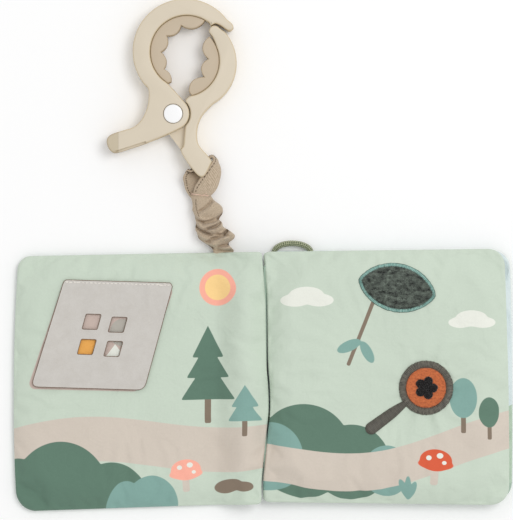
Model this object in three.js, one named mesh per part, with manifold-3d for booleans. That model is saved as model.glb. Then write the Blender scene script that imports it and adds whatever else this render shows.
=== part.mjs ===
// Crinkle cloth book: three padded leaves sewn at the spine, a window flap, two sewn-on patches,
// a ruched elastic strap and a sprung clip. Millimetres, +Z up, the open book lies on z = 0.
// The origin is the middle of the back cover's flat underside.
import * as THREE from 'three';
import { mergeVertices } from 'three/addons/utils/BufferGeometryUtils.js';
import Module from 'manifold-3d';

const wasm = await Module();
wasm.setup();

// Fits
const fitGap = 0.3; // between pieces that touch
const cutOverrun = 5; // how far a cutting tool passes the solid that it cuts

// Leaves
const leafHeight = 162;
const frontLeafWidth = 157.9;
const backLeafWidth = 156.2;
const middleLeafSetback = 4.6; // how much narrower the middle leaf is than the back leaf that it lies on
const leafCornerRadius = 10;
const leafInnerCornerRadius = 4;
const panelThickness = 0.8;
const filmThickness = 0.3;
const seamThickness = 2.2;
const loftAbove = 4.8; // how far the upper panel swells over its seam
const loftBelow = 2.3; // how far the lower panel drops under its seam
const loftAboveWidth = 26; // from the seam to the full crown
const loftBelowWidth = 14;
const fillInset = 5; // from the seam to the wadding
const leafStackGap = 0.6; // between the crowns of two leaves that lie on each other
const coverSpineGap = 1.6; // from the spine line to the back leaf's seam
const pageSpineGap = 2.75; // from the spine line to the turning leaves' seams
const frontSeamRise = 14.3; // height of the front leaf's spine seam
const spineWidth = 26; // over which a turning leaf climbs to its spine seam
const leafDroop = 3.4; // how far the middle leaf's free edges hang
const ringInsetShares = [0, 0.19, 0.5, 1]; // rings between the seam and the full crown
const edgePointShares = [0.06, 0.16, 0.84, 0.94]; // points along each straight side of a ring
const cornerSteps = 3;

// Spine binding
const spineRollRadius = 2.4;
const spineRollHeight = 17; // height of the line on which the leaves turn
const spineStripThickness = 2.2;
const spineStripFoot = 2.4; // height of the strip's lower edge
const spineRollSteps = 12;

// Window flap
const flapThickness = 1.2;
const flapWidth = 70;
const flapLowerWidth = 72.5;
const flapHeight = 66.5;
const flapSlant = 18.5; // how far the lower edge lies to the left of the upper one
const flapTilt = THREE.MathUtils.degToRad(-1.7);
const flapCornerRadius = 5;
const flapHemDepth = 2.4;
const flapSeatInset = 56.1; // from the spine seam to the flap's upper right corner
const flapSeatDrop = 21.5; // from the leaf's upper edge to the stitch line
const flapFoldLift = 0.2; // height of the fold line over the flap's face
const windowSize = 9.4;
const windowCornerRadius = 1;
const windowSlantShare = 0.25; // sideways lean of a window's sides, per height
const windowPlaceShares = [ // window centres: along the flap from its left, and down from the stitches
  [0.363, 0.358], [0.603, 0.379], [0.386, 0.6], [0.625, 0.611],
];
const roundSteps = 3;

// Pile patch
const patchLength = 50;
const patchWidth = 31;
const patchTilt = THREE.MathUtils.degToRad(-12);
const patchBorderWidth = 2.5;
const patchBorderHeight = 1.4;
const patchBorderTopShares = [0.75, 0.25]; // edges of the border's top, per width
const pileHeight = 2.2;
const patchSeatInset = 81; // from the spine seam to the patch's middle
const patchSeatDrop = 24; // from the leaf's upper edge to the patch's middle
const patchSteps = 24;
const patchInnerShares = [0.12, 0.5, 0.85]; // rings between the border and the patch's spine
const pileEdgeShare = 0.7; // height of the pile at its border
const patchPointShare = 0.72; // how full the leaf shape is towards its points

// Ring patch
const ringPatchRadius = 17.3;
const ringPatchBore = 12.8;
const ringPatchHeight = 2.2;
const ringPatchSeatInset = 99.4; // from the spine seam to the ring's middle
const ringPatchSeatRise = -6.6; // from the leaf's middle line to the ring's middle
const ringHandleLength = 31;
const ringHandleNeck = 3.6;
const ringHandleEnd = 7.6;
const ringHandleShoulderShare = 0.3; // where along its length the handle is nearly at its full width
const ringHandleShoulderWidthShare = 0.82;
const ringHandleRoundShare = 0.25; // how far its edges are rounded, per height
const ringHandleAngle = THREE.MathUtils.degToRad(216.5);
const ringHandleSink = 1.5; // how deep the handle runs into the ring
const ringDiscThickness = 0.8;
const ringFlowerRadius = 7.5;
const ringFlowerWaistShare = 0.62;
const ringFlowerPetals = 5;
const ringFlowerThickness = 0.7;
const ringPetalSteps = 6;
const ringPatchSteps = 28;
const ringSectionSteps = 6;

// Cord loop
const cordDiameter = 3.6;
const cordSides = 8;
const cordSteps = 18;
const cordSeatInset = 16.1; // from the spine seam to the middle of the loop
const cordRoute = [ // across and out from the back leaf's upper edge, in millimetres
  [-11.3, 0.35], [-11.3, 1.2], [-10.5, 2.2], [-8.3, 3.2], [-5, 4], [-1.2, 4.4],
  [2.8, 4.3], [6.5, 3.6], [9.3, 2.5], [10.8, 1.4], [10.9, 0.35],
];

// Ruched strap
const strapSeatInset = 24.2; // from the spine seam to the strap's middle
const strapSeatGap = 0.8; // room in which the strap bends at the seam
const strapLength = 34;
const strapHalfWidth = 9;
const strapHalfHeight = 5.6;
const strapRise = 6.2; // height of the strap's middle
const strapWall = 0.9;
const strapRuches = 4.5;
const strapRucheShare = 0.17;
const strapRestHeight = 0.4;
const strapSteps = 22;
const strapSides = 12;
const strapFlatRings = 3; // the first rings are the flat sewn end, with no hollow
const strapRouteShares = [ // across and along, both in shares of the length
  [0, 0], [-0.01, 0.09], [-0.11, 0.245], [-0.2, 0.433], [-0.24, 0.62], [-0.335, 0.77], [-0.38, 0.872],
];
const strapWidthShares = [0.64, 0.82, 1.02, 0.94, 0.96, 0.9, 0.56];
const strapHeightShares = [0.07, 0.55, 0.9, 1, 1, 0.86, 0.42];
const strapRiseShares = [0.555, 0.8, 0.98, 1.05, 1.05, 1.03, 1];
const elasticWidth = 6;
const elasticThickness = 1;
const elasticStartShare = 0.2;
const elasticEndShare = 0.97; // of the gathered tube, before the elastic runs on to the tie
const elasticSteps = 10;

// Strap loop and its thread tie
const loopReach = 26.9; // from the tie to the far end of the loop
const loopHalfWidth = 5.2;
const loopThickness = 1.3;
const ribbonCornerShares = [0.9, 0.5]; // where a band's corners are taken off, across and through
const loopSteps = 30;
const loopTieShares = [-0.415, 1]; // the tie from the strap's seat, in shares of the strap's length
const loopRunShares = [0, 0.782, 0.03, 0, 0, -1, 0.86]; // the band's place in the middle of the clip's slot
const loopStationShares = [ // across, along, height; then the band's direction; then its width
  [0.05, 0.035, 0.065, 0.95, -0.3, 0, 0.86],
  [0.12, 0.18, 0.09, 0.93, -0.35, 0, 0.98],
  [0.28, 0.34, 0.115, 0.85, -0.5, -0.1, 1],
  [0.42, 0.645, 0.085, 0.7, -0.3, -0.65, 0.88],
  [0.405, 0.865, 0.035, 0.2, 0, -0.98, 0.86],
  [0.3, 0.975, 0.03, 0, 0, -1, 0.86],
  [0.19, 0.93, 0.03, 0, 0, -1, 0.86],
  loopRunShares,
  [-0.19, 0.635, 0.03, 0, 0, -1, 0.86],
  [-0.345, 0.475, 0.01, 0.45, 0.1, -0.89, 0.86],
  [-0.31, 0.3, -0.035, 0.88, 0.3, -0.3, 0.92],
  [-0.14, 0.16, -0.06, 0.85, 0.4, 0, 0.86],
  [-0.02, 0.01, -0.06, 0.95, 0.2, 0, 0.78],
];
const tieThickness = 0.8;
const tieHalfWidth = 8.6;
const tieHalfHeight = 3.7;
const tieLift = 1.6; // from the strap's end to the tie
const tieSquareShare = 0.4; // how boxy the tie runs round the two layers
const tieSteps = 16;
const tieSides = 6;

// Clip: places are shares of the ring's radius, from the ring's middle
const clipRingRadius = 33.5;
const clipThickness = 13.6;
const clipRestHeight = 0.4;
const clipEdgeRound = 1.2;
const clipEdgeSteps = 2;
const clipArcSteps = 18;
const clipShortArcSteps = 12;
const hubArcSteps = 7;
const earThickness = 4.4;
const pivotPlaceShares = [-0.231, -1.183];
const hubRadius = 10.4;
const hubClearance = 0.65;
const knuckleRadius = 10;
const jawOpening = THREE.MathUtils.degToRad(30);
const jawOpeningSpare = THREE.MathUtils.degToRad(3);
const leverBoreShares = [0.029, -0.01]; // middle of the lever jaw's inner arc
const leverWall = 10.1; // from the ring's outer arc to the lever jaw's inner one
const tailBoreShares = [-0.01, -0.181]; // middle of the tail jaw's inner arc
const tailWall = 10.7;
const tailBackShares = [0.105, -0.219]; // middle of the tail jaw's outer arc
const tailBackSetback = 3.5; // of the tail jaw's outer arc from the ring's
const leverBackAngles = [37, 225]; // where each arc of the outlines starts and ends, in degrees
const leverHubAngles = [-68, 46];
const leverBoreAngles = [238, 52];
const tailBackAngles = [-60, 40];
const tailBoreAngles = [22, -80];
const tailHubAngles = [48, -43];
const leverNeckShares = [
  [-0.697, -0.9], [-0.715, -1.03], [-0.769, -1.183], [-0.85, -1.32], [-0.975, -1.431], [-1.14, -1.49],
  [-1.326, -1.546], [-1.415, -1.6], [-1.462, -1.69], [-1.43, -1.83], [-1.36, -1.905], [-1.27, -1.912],
  [-1.02, -1.835], [-0.769, -1.75], [-0.353, -1.584],
];
const leverTipShares = [
  [0.49, 0.49], [0.563, 0.53], [0.66, 0.497], [0.82, 0.395], [0.875, 0.405], [0.915, 0.455], [0.89, 0.525],
];
const tailNeckShares = [
  [0.315, -2.393], [0.47, -2.165], [0.503, -2.1], [0.452, -2.011], [0.32, -1.86], [0.25, -1.76],
  [0.222, -1.63], [0.235, -1.43], [0.31, -1.235],
];
const tailTipShares = [[0.7, 0.425], [0.63, 0.475], [0.56, 0.49], [0.5, 0.455], [0.475, 0.38], [0.545, 0.27]];
const tailHeelShares = [[-0.05, -1.83], [-0.095, -1.855]];
const knuckleWebReachShare = 1.1; // of the tail's straight side
const knuckleWebShares = [[0.12, -1.45], [0.12, -1.1]];
const padEndShare = -1.3; // the pad takes the lever's end past this share of the ring's radius
const padSink = 0.5;
const leverGrooveDepth = 5;
const leverGrooveWidth = 6;
const leverGrooveShares = [[-1.2, -1.9], [-0.82, -1.772]];
const slotWidth = 3.6;
const slotHeight = 10.2;
const slotEndWall = 2.4; // plastic between the slot and the tail's end

// Grips
const gripInset = 1.4; // from the clip's faces to the grips'
const gripLobeSteps = 4;
const gripLobeShare = 0.3; // swell of a lobe per length
const leverGripCusps = [ // angle in degrees and share of the bore's radius
  [58, 0.985], [101, 0.69], [140, 0.66], [181, 0.7], [220, 0.76], [238, 0.985],
];
const tailGripCusps = [[34, 0.985], [1, 0.664], [-40, 0.753], [-79, 0.985]];

// Pivot
const pinRadius = 2.5;
const pinClearance = 0.35;
const capRadius = 6;
const capThickness = 1.6;
const capClearance = 0.4;
const pivotSteps = 20;
const springWire = 1;
const springCoilRadius = 4.1;
const springTurns = 2;
const springPitch = 1.48;
const springFloor = 1.1; // plastic under the spring in the knuckle
const springPocketRadius = 5.2;
const springSides = 5;
const springStepsPerTurn = 8;
const springLegSteps = 8; // steps for the two straight ends together
const springLegReach = 8.2;
const springLegAngle = THREE.MathUtils.degToRad(-20);
const springArmAngle = THREE.MathUtils.degToRad(196);
const springArmReach = 12;
const springNotchWidth = 1.8;
const springWindowSteps = 3;
const springWindowAngles = [176, 232].map(THREE.MathUtils.degToRad);

// Worked out from the sizes above
const leafThickness = seamThickness + loftAbove + loftBelow;
const coverSeamHeight = seamThickness / 2 + loftBelow;
const middleSeamHeight = leafThickness + leafStackGap + coverSeamHeight;
const middleLeafWidth = backLeafWidth - middleLeafSetback;
const leverBoreRadius = clipRingRadius - leverWall;
const tailBoreRadius = clipRingRadius - tailWall;
const tailBackRadius = clipRingRadius - tailBackSetback;
const clipTop = clipRestHeight + clipThickness;
const earTopFloor = clipTop - earThickness;
const earBottomTop = clipRestHeight + earThickness;

// Leaves, each a plan in its own width and height with the seam's place, rise and slack
const frontLeaf = {
  side: -1, spineGap: pageSpineGap, width: frontLeafWidth, seamHeight: coverSeamHeight,
  rise: frontSeamRise - coverSeamHeight, droop: 0,
  slackShares: { spineTop: -0.004, foreTop: -0.022, spineFoot: 0.002, foreFoot: -0.031 },
};
const middleLeaf = {
  side: 1, spineGap: pageSpineGap, width: middleLeafWidth, seamHeight: middleSeamHeight,
  rise: spineRollHeight - middleSeamHeight, droop: leafDroop,
  slackShares: { spineTop: -0.004, foreTop: 0.008, spineFoot: 0.009, foreFoot: -0.003 },
};
const backLeaf = {
  side: 1, spineGap: coverSpineGap, width: backLeafWidth, seamHeight: coverSeamHeight,
  rise: 0, droop: 0,
  slackShares: { spineTop: 0, foreTop: 0, spineFoot: 0.012, foreFoot: 0.006 },
};

const colours = {
  mintCloth: 0xccd9ca, coverCloth: 0x9fb8a6, paleCloth: 0xd2e1e4, wadding: 0xf2f0ea, film: 0xdfe6e8,
  flap: 0xcdc9c4, pile: 0x424a43, satin: 0x2f8f83, ring: 0x69675c, disc: 0xcb683e, dark: 0x23211f,
  cord: 0xa0a587, strap: 0xb2a08b, elastic: 0xe9e4da, thread: 0xe8b79c, clip: 0xd8ccb6, grip: 0xc4b49d,
  pad: 0xc9bca2, cap: 0xffffff, steel: 0xb9bcc0,
};

// Solids

function node(name, geometry, colour, roughness = 0.85, metalness = 0) {
  geometry.computeVertexNormals();
  const material = new THREE.MeshStandardMaterial({ color: colour, roughness, metalness });
  const mesh = new THREE.Mesh(geometry, material);
  mesh.name = name;
  return mesh;
}

function solidOf(geometry) {
  const bare = geometry.clone();
  bare.deleteAttribute('normal');
  bare.deleteAttribute('uv');
  const merged = mergeVertices(bare);
  return new wasm.Manifold(new wasm.Mesh({
    numProp: 3,
    vertProperties: new Float32Array(merged.attributes.position.array),
    triVerts: new Uint32Array(merged.index.array),
  }));
}

function geometryOf(solid) {
  const mesh = solid.getMesh();
  const geometry = new THREE.BufferGeometry();
  geometry.setAttribute('position', new THREE.BufferAttribute(new Float32Array(mesh.vertProperties), 3));
  geometry.setIndex([...mesh.triVerts]);
  return geometry;
}

// A closed solid through rings of points, closed at both ends or joined last to first.
// Each ring runs anticlockwise for someone who looks along the rings' order. From the band mirrored on,
// the four-sided faces are split the other way, so that two faces of one layer are split alike.
function ringSolid(rings, joined = false, mirrored = rings.length) {
  const count = rings[0].length;
  const points = rings.flat();
  const faces = [];
  const bands = joined ? rings.length : rings.length - 1;
  for (let band = 0; band < bands; band += 1) {
    const near = band * count;
    const far = ((band + 1) % rings.length) * count;
    for (let i = 0; i < count; i += 1) {
      const next = (i + 1) % count;
      if (band < mirrored) faces.push(near + i, far + i, far + next, near + i, far + next, near + next);
      else faces.push(near + i, far + i, near + next, far + i, far + next, near + next);
    }
  }
  if (!joined) {
    const middleOf = (ring) => ring.reduce((sum, p) => sum.add(p), new THREE.Vector3()).divideScalar(count);
    const first = points.push(middleOf(rings[0])) - 1;
    const last = points.push(middleOf(rings[rings.length - 1])) - 1;
    const end = (rings.length - 1) * count;
    for (let i = 0; i < count; i += 1) {
      const next = (i + 1) % count;
      faces.push(first, i, next, last, end + next, end + i);
    }
  }
  const geometry = new THREE.BufferGeometry().setFromPoints(points);
  geometry.setIndex(faces);
  return geometry;
}

// A flat plate between two heights, with its edges rounded where a radius is given
function plate(outline, low, high, round = 0, holes = []) {
  const shape = new THREE.Shape(outline);
  shape.holes = holes.map((hole) => new THREE.Path(hole));
  const geometry = new THREE.ExtrudeGeometry(shape, {
    depth: high - low - 2 * round,
    bevelEnabled: round > 0,
    bevelThickness: round,
    bevelSize: round,
    bevelOffset: -round,
    bevelSegments: clipEdgeSteps,
    curveSegments: 1,
  });
  return geometry.translate(0, 0, low + round);
}

function arc(middle, radius, from, to, steps) {
  return Array.from({ length: steps + 1 }, (_, i) => {
    const angle = from + ((to - from) * i) / steps;
    return new THREE.Vector2(middle.x + radius * Math.cos(angle), middle.y + radius * Math.sin(angle));
  });
}

function degreesArc(middle, radius, [from, to], steps) {
  return arc(middle, radius, THREE.MathUtils.degToRad(from), THREE.MathUtils.degToRad(to), steps);
}

// A polygon whose corners are rounded alike
function roundedOutline(corners, radius) {
  return corners.flatMap((corner, i) => {
    const towards = (other) => other.clone().sub(corner).setLength(radius).add(corner);
    const before = towards(corners[(i + corners.length - 1) % corners.length]);
    const after = towards(corners[(i + 1) % corners.length]);
    return new THREE.QuadraticBezierCurve(before, corner, after).getPoints(roundSteps);
  });
}

// Leaves

const quarterTurn = Math.PI / 2;
const swell = (inset, width) => Math.sin(quarterTurn * Math.min(1, inset / width));

// A ring of the leaf's plan at an inset from the seam: u runs from the spine, v from the middle line
function planRing(leaf, inset) {
  const radius = Math.max(leafCornerRadius - inset, leafInnerCornerRadius);
  const halfU = leaf.width / 2 - inset - radius;
  const halfV = leafHeight / 2 - inset - radius;
  const ring = [];
  [[1, 1, 0], [-1, 1, 1], [-1, -1, 2], [1, -1, 3]].forEach(([signU, signV, quarter]) => {
    const middle = new THREE.Vector2(leaf.width / 2 + signU * halfU, signV * halfV);
    const from = quarter * quarterTurn;
    const corner = arc(middle, radius, from, from + quarterTurn, cornerSteps);
    ring.push(...corner);
    const side = quarter % 2 === 0
      ? new THREE.Vector2(-signU * 2 * halfU, 0)
      : new THREE.Vector2(0, -signV * 2 * halfV);
    const last = corner[cornerSteps];
    edgePointShares.forEach((share) => ring.push(last.clone().addScaledVector(side, share)));
  });
  return leaf.side > 0 ? ring : ring.reverse();
}

// From a leaf's plan to the open book, with the slack that pulls its corners out of square
function placeOnLeaf(leaf, u, v, z) {
  const { spineTop, foreTop, spineFoot, foreFoot } = leaf.slackShares;
  const along = u / leaf.width;
  const up = 0.5 + v / leafHeight;
  const top = THREE.MathUtils.lerp(spineTop, foreTop, along);
  const foot = THREE.MathUtils.lerp(spineFoot, foreFoot, along);
  const slack = THREE.MathUtils.lerp(foot, top, up) * leafHeight;
  return new THREE.Vector3(leaf.side * (leaf.spineGap + u), v + slack, z);
}

function seamLevel(leaf, u, v) {
  const fromSpine = Math.max(0, 1 - u / spineWidth);
  const fromFree = Math.min(leaf.width - u, leafHeight / 2 - Math.abs(v));
  const droop = Math.max(0, 1 - fromFree / loftAboveWidth);
  return leaf.seamHeight + leaf.rise * fromSpine ** 2 - leaf.droop * droop ** 2;
}

function upperFace(leaf, u, v, inset) {
  return seamLevel(leaf, u, v) + seamThickness / 2 + loftAbove * swell(inset, loftAboveWidth);
}

function lowerFace(leaf, u, v, inset) {
  return seamLevel(leaf, u, v) - seamThickness / 2 - loftBelow * swell(inset, loftBelowWidth);
}

function leafRing(leaf, inset, face, shift) {
  return planRing(leaf, inset).map((p) => placeOnLeaf(leaf, p.x, p.y, face(leaf, p.x, p.y, inset) + shift));
}

// One layer of a leaf: from one face's offset to another's, as far out as its own first inset
function leafLayer(leaf, insets, top, bottom) {
  const inward = [...insets].reverse();
  return ringSolid([
    ...inward.map((inset) => leafRing(leaf, inset, top.face, top.shift)),
    ...insets.map((inset) => leafRing(leaf, inset, bottom.face, bottom.shift)),
  ], false, insets.length);
}

const allInsets = ringInsetShares.map((share) => share * loftAboveWidth);
const fillInsets = [fillInset, ...allInsets.slice(2)];

function addLeaf(group, leaf, names, upperColour, lowerColour) {
  const filmTop = -panelThickness - fitGap;
  const fillTop = filmTop - filmThickness - fitGap;
  const fillBottom = panelThickness + fitGap;
  group.add(
    node(names.upper, leafLayer(leaf, allInsets,
      { face: upperFace, shift: 0 }, { face: upperFace, shift: -panelThickness }), upperColour),
    node(names.lower, leafLayer(leaf, allInsets,
      { face: lowerFace, shift: panelThickness }, { face: lowerFace, shift: 0 }), lowerColour),
    node(names.film, leafLayer(leaf, fillInsets,
      { face: upperFace, shift: filmTop }, { face: upperFace, shift: filmTop - filmThickness }),
    colours.film, 0.3),
    node(names.fill, leafLayer(leaf, fillInsets,
      { face: upperFace, shift: fillTop }, { face: lowerFace, shift: fillBottom }), colours.wadding, 0.95),
  );
}

function spineBinding() {
  const half = spineStripThickness / 2;
  const mouth = Math.asin(half / spineRollRadius);
  const down = -quarterTurn;
  const middle = new THREE.Vector2(0, spineRollHeight);
  const roll = arc(middle, spineRollRadius, down + mouth, down + 2 * Math.PI - mouth, spineRollSteps);
  const foot = [new THREE.Vector2(-half, spineStripFoot), new THREE.Vector2(half, spineStripFoot)];
  const shape = new THREE.Shape([...foot, ...roll]);
  const length = leafHeight - 2 * leafCornerRadius;
  const geometry = new THREE.ExtrudeGeometry(shape, { depth: length, bevelEnabled: false });
  return geometry.translate(0, 0, -length / 2).rotateX(quarterTurn);
}

// Window flap, in its own plane: x along the stitches from the left, y down from them as negative

function flapCorner(along, down) {
  const width = THREE.MathUtils.lerp(flapWidth, flapLowerWidth, down);
  return new THREE.Vector2(along * width - down * flapSlant, -down * flapHeight);
}

function windowOutline([along, down]) {
  const middle = flapCorner(along, down);
  const half = windowSize / 2;
  const lean = half * windowSlantShare;
  const corners = [[-half - lean, -half], [half - lean, -half], [half + lean, half], [-half + lean, half]]
    .map(([x, y]) => new THREE.Vector2(x, y).add(middle));
  return roundedOutline(corners, windowCornerRadius);
}

function addFlap(group) {
  const upperRight = placeOnLeaf(frontLeaf, flapSeatInset, leafHeight / 2 - flapSeatDrop, 0);
  const low = leafThickness + fitGap;
  const settle = (geometry) => geometry.translate(-flapWidth, 0, 0).rotateZ(flapTilt)
    .translate(upperRight.x, upperRight.y, 0);
  const corners = [flapCorner(0, 0), flapCorner(0, 1), flapCorner(1, 1), flapCorner(1, 0)];
  corners[0].y -= fitGap;
  corners[3].y -= fitGap;
  const holes = windowPlaceShares.map(windowOutline);
  const rounded = roundedOutline(corners, flapCornerRadius).slice(roundSteps + 1, 3 * (roundSteps + 1));
  const lower = [corners[0], ...rounded, corners[3]];
  const cut = flapHemDepth / 2; // the hem's upper corners are cut off
  const hem = [
    new THREE.Vector2(0, 0), new THREE.Vector2(flapWidth, 0),
    new THREE.Vector2(flapWidth, cut), new THREE.Vector2(flapWidth - cut, flapHemDepth),
    new THREE.Vector2(cut, flapHemDepth), new THREE.Vector2(0, cut),
  ];
  group.add(
    node('window_flap', settle(plate(lower, low, low + flapThickness, 0, holes)), colours.flap),
    node('flap_hem', settle(plate(hem, low, low + flapThickness)), colours.flap),
  );
  const foldLine = new THREE.Vector3(upperRight.x, upperRight.y, low + flapThickness + flapFoldLift);
  return foldLine;
}

// Pile patch: a plain leaf shape with a satin-stitched border, laid on the page's swell

function patchRing(grow, lift) {
  const ring = [];
  for (let i = 0; i < patchSteps; i += 1) {
    const angle = (2 * Math.PI * i) / patchSteps;
    const across = Math.sin(angle) * Math.abs(Math.sin(angle)) ** (1 / patchPointShare - 1);
    const x = (patchLength / 2 - grow) * Math.cos(angle);
    const y = (patchWidth / 2 - grow) * across;
    const turned = new THREE.Vector2(x, y).rotateAround(new THREE.Vector2(), patchTilt);
    const u = patchSeatInset + turned.x;
    const v = leafHeight / 2 - patchSeatDrop + turned.y;
    const inset = leafHeight / 2 - v;
    ring.push(placeOnLeaf(middleLeaf, u, v, upperFace(middleLeaf, u, v, inset) + lift));
  }
  return ring;
}

function addPatch(group) {
  const foot = 2 * fitGap;
  const border = ringSolid([
    patchRing(0, foot), patchRing(patchBorderWidth, foot),
    ...patchBorderTopShares.map((share) => patchRing(patchBorderWidth * share, patchBorderHeight)),
  ], true);
  const inside = patchBorderWidth + fitGap;
  const within = patchInnerShares.map((share) => THREE.MathUtils.lerp(inside, patchWidth / 2, share));
  const pile = ringSolid([
    ...within.map((grow) => patchRing(grow, pileHeight)).reverse(),
    patchRing(inside, pileHeight * pileEdgeShare), patchRing(inside, foot),
    ...within.map((grow) => patchRing(grow, foot)),
  ]);
  group.add(
    node('pile_patch_border', border, colours.satin, 0.5),
    node('pile_patch', pile, colours.pile, 1),
  );
}

// Ring patch: a padded ring and its handle, a woven disc inside it and a small flower on the disc

function addRingPatch(group) {
  const page = middleSeamHeight - coverSeamHeight + leafThickness;
  const low = page + fitGap;
  const middle = placeOnLeaf(middleLeaf, ringPatchSeatInset, ringPatchSeatRise, 0);
  const band = (ringPatchRadius - ringPatchBore) / 2;
  const section = arc({ x: ringPatchBore + band, y: 0 }, band, 0, Math.PI, ringSectionSteps)
    .map((p) => new THREE.Vector2(p.x, (p.y / band) * ringPatchHeight));
  section.push(section[0].clone());
  const ring = new THREE.LatheGeometry(section, ringPatchSteps).rotateX(quarterTurn);
  const start = ringPatchRadius - ringHandleSink;
  const end = start + ringHandleLength;
  const shoulder = start + ringHandleLength * ringHandleShoulderShare;
  const handleSide = [
    [start, ringHandleNeck / 2], [shoulder, ringHandleEnd * ringHandleShoulderWidthShare / 2],
    [end, ringHandleEnd / 2],
  ];
  const handleOutline = roundedOutline([
    ...handleSide.map(([x, y]) => new THREE.Vector2(x, -y)),
    ...handleSide.map(([x, y]) => new THREE.Vector2(x, y)).reverse(),
  ], ringHandleNeck / 2);
  const handle = plate(handleOutline, 0, ringPatchHeight, ringPatchHeight * ringHandleRoundShare)
    .rotateZ(ringHandleAngle);
  const joined = geometryOf(solidOf(ring).add(solidOf(handle)));
  const discRadius = ringPatchBore - fitGap;
  const discOutline = arc({ x: 0, y: 0 }, discRadius, 0, 2 * Math.PI, ringPatchSteps).slice(1);
  const disc = plate(discOutline, 0, ringDiscThickness);
  const petalPoints = ringPetalSteps * ringFlowerPetals;
  const petals = Array.from({ length: petalPoints }, (_, i) => {
    const angle = (2 * Math.PI * i) / petalPoints;
    const wave = Math.abs(Math.cos((ringFlowerPetals * angle) / 2));
    const radius = ringFlowerRadius * THREE.MathUtils.lerp(ringFlowerWaistShare, 1, wave);
    return new THREE.Vector2(radius * Math.cos(angle), radius * Math.sin(angle));
  });
  const flowerLow = ringDiscThickness + fitGap;
  const flower = plate(petals, flowerLow, flowerLow + ringFlowerThickness);
  [
    ['ring_patch', joined, colours.ring, 0.6],
    ['ring_disc', disc, colours.disc, 0.8],
    ['disc_flower', flower, colours.dark, 0.7],
  ].forEach(([name, geometry, colour, roughness]) => {
    group.add(node(name, geometry.translate(middle.x, middle.y, low), colour, roughness));
  });
}

function addCordLoop(group) {
  const seat = placeOnLeaf(backLeaf, cordSeatInset, leafHeight / 2, coverSeamHeight);
  const route = new THREE.CatmullRomCurve3(cordRoute.map(([across, out]) => (
    new THREE.Vector3(seat.x + across, seat.y + out, seat.z)
  )));
  const section = arc({ x: 0, y: 0 }, cordDiameter / 2, 0, 2 * Math.PI, cordSides).slice(1);
  const way = { steps: cordSteps, extrudePath: route, curveSegments: 1 };
  group.add(node('cord_loop', new THREE.ExtrudeGeometry(new THREE.Shape(section), way), colours.cord));
}

// Strap

const strapSeat = placeOnLeaf(frontLeaf, strapSeatInset, leafHeight / 2, 0);
strapSeat.y += strapSeatGap;
const strapPoint = ([across, along]) => new THREE.Vector2(
  strapSeat.x + across * strapLength, strapSeat.y + along * strapLength,
);

function sampleShares(shares, share) {
  const place = share * (shares.length - 1);
  const low = Math.min(Math.floor(place), shares.length - 2);
  return THREE.MathUtils.lerp(shares[low], shares[low + 1], place - low);
}

const tie = strapPoint(loopTieShares);
const strapLine = new THREE.CatmullRomCurve3(strapRouteShares.map((place, i) => {
  const point = strapPoint(place);
  return new THREE.Vector3(point.x, point.y, strapRise * strapRiseShares[i]);
}));

function strapRing(share, wall) {
  const middle = strapLine.getPoint(share);
  const tangent = strapLine.getTangent(share).setZ(0).normalize();
  const across = new THREE.Vector3(tangent.y, -tangent.x, 0);
  const halfWidth = strapHalfWidth * sampleShares(strapWidthShares, share);
  const halfHeight = strapHalfHeight * sampleShares(strapHeightShares, share);
  const depth = strapRucheShare * Math.sin(Math.PI * share);
  return Array.from({ length: strapSides }, (_, i) => {
    const angle = (2 * Math.PI * i) / strapSides;
    const ruche = 1 + depth * Math.cos(2 * Math.PI * strapRuches * share - angle);
    const point = middle.clone().addScaledVector(across, Math.cos(angle) * (halfWidth * ruche - wall));
    point.z += Math.sin(angle) * Math.max(halfHeight * ruche - wall, fitGap / 2);
    point.z = Math.max(point.z, strapRestHeight + wall);
    return point;
  });
}

function addStrap(group) {
  const shares = Array.from({ length: strapSteps + 1 }, (_, i) => i / strapSteps);
  const outer = shares.map((share) => strapRing(share, 0));
  const inner = shares.slice(strapFlatRings).map((share) => strapRing(share, strapWall)).reverse();
  group.add(node('ruched_strap', ringSolid([...outer, ...inner]), colours.strap));
  const up = new THREE.Vector3(0, 0, 1);
  const elasticRing = (point, way) => {
    const across = new THREE.Vector3(way.y, -way.x, 0).normalize();
    return ribbonRing(point, across, up, elasticWidth / 2, elasticThickness / 2);
  };
  const elastic = Array.from({ length: elasticSteps + 1 }, (_, i) => {
    const share = THREE.MathUtils.lerp(elasticStartShare, elasticEndShare, i / elasticSteps);
    return elasticRing(strapLine.getPoint(share), strapLine.getTangent(share));
  });
  const end = new THREE.Vector3(tie.x, tie.y, strapRise);
  elastic.push(elasticRing(end, end.clone().sub(strapLine.getPoint(elasticEndShare))));
  group.add(node('strap_elastic', ringSolid(elastic), colours.elastic));
}

// A flat band's section: wide across, thin along its normal, with the corners taken off
function ribbonRing(middle, across, normal, halfWidth, halfThickness) {
  const [wide, thin] = ribbonCornerShares;
  return [[1, thin], [wide, 1], [-wide, 1], [-1, thin], [-1, -thin], [-wide, -1], [wide, -1], [1, -thin]]
    .map(([a, b]) => middle.clone().addScaledVector(across, a * halfWidth)
      .addScaledVector(normal, b * halfThickness));
}

const loopPoint = ([across, along, rise]) => new THREE.Vector3(
  tie.x + across * loopReach, tie.y + along * loopReach, strapRise + rise * loopReach,
);

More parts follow.
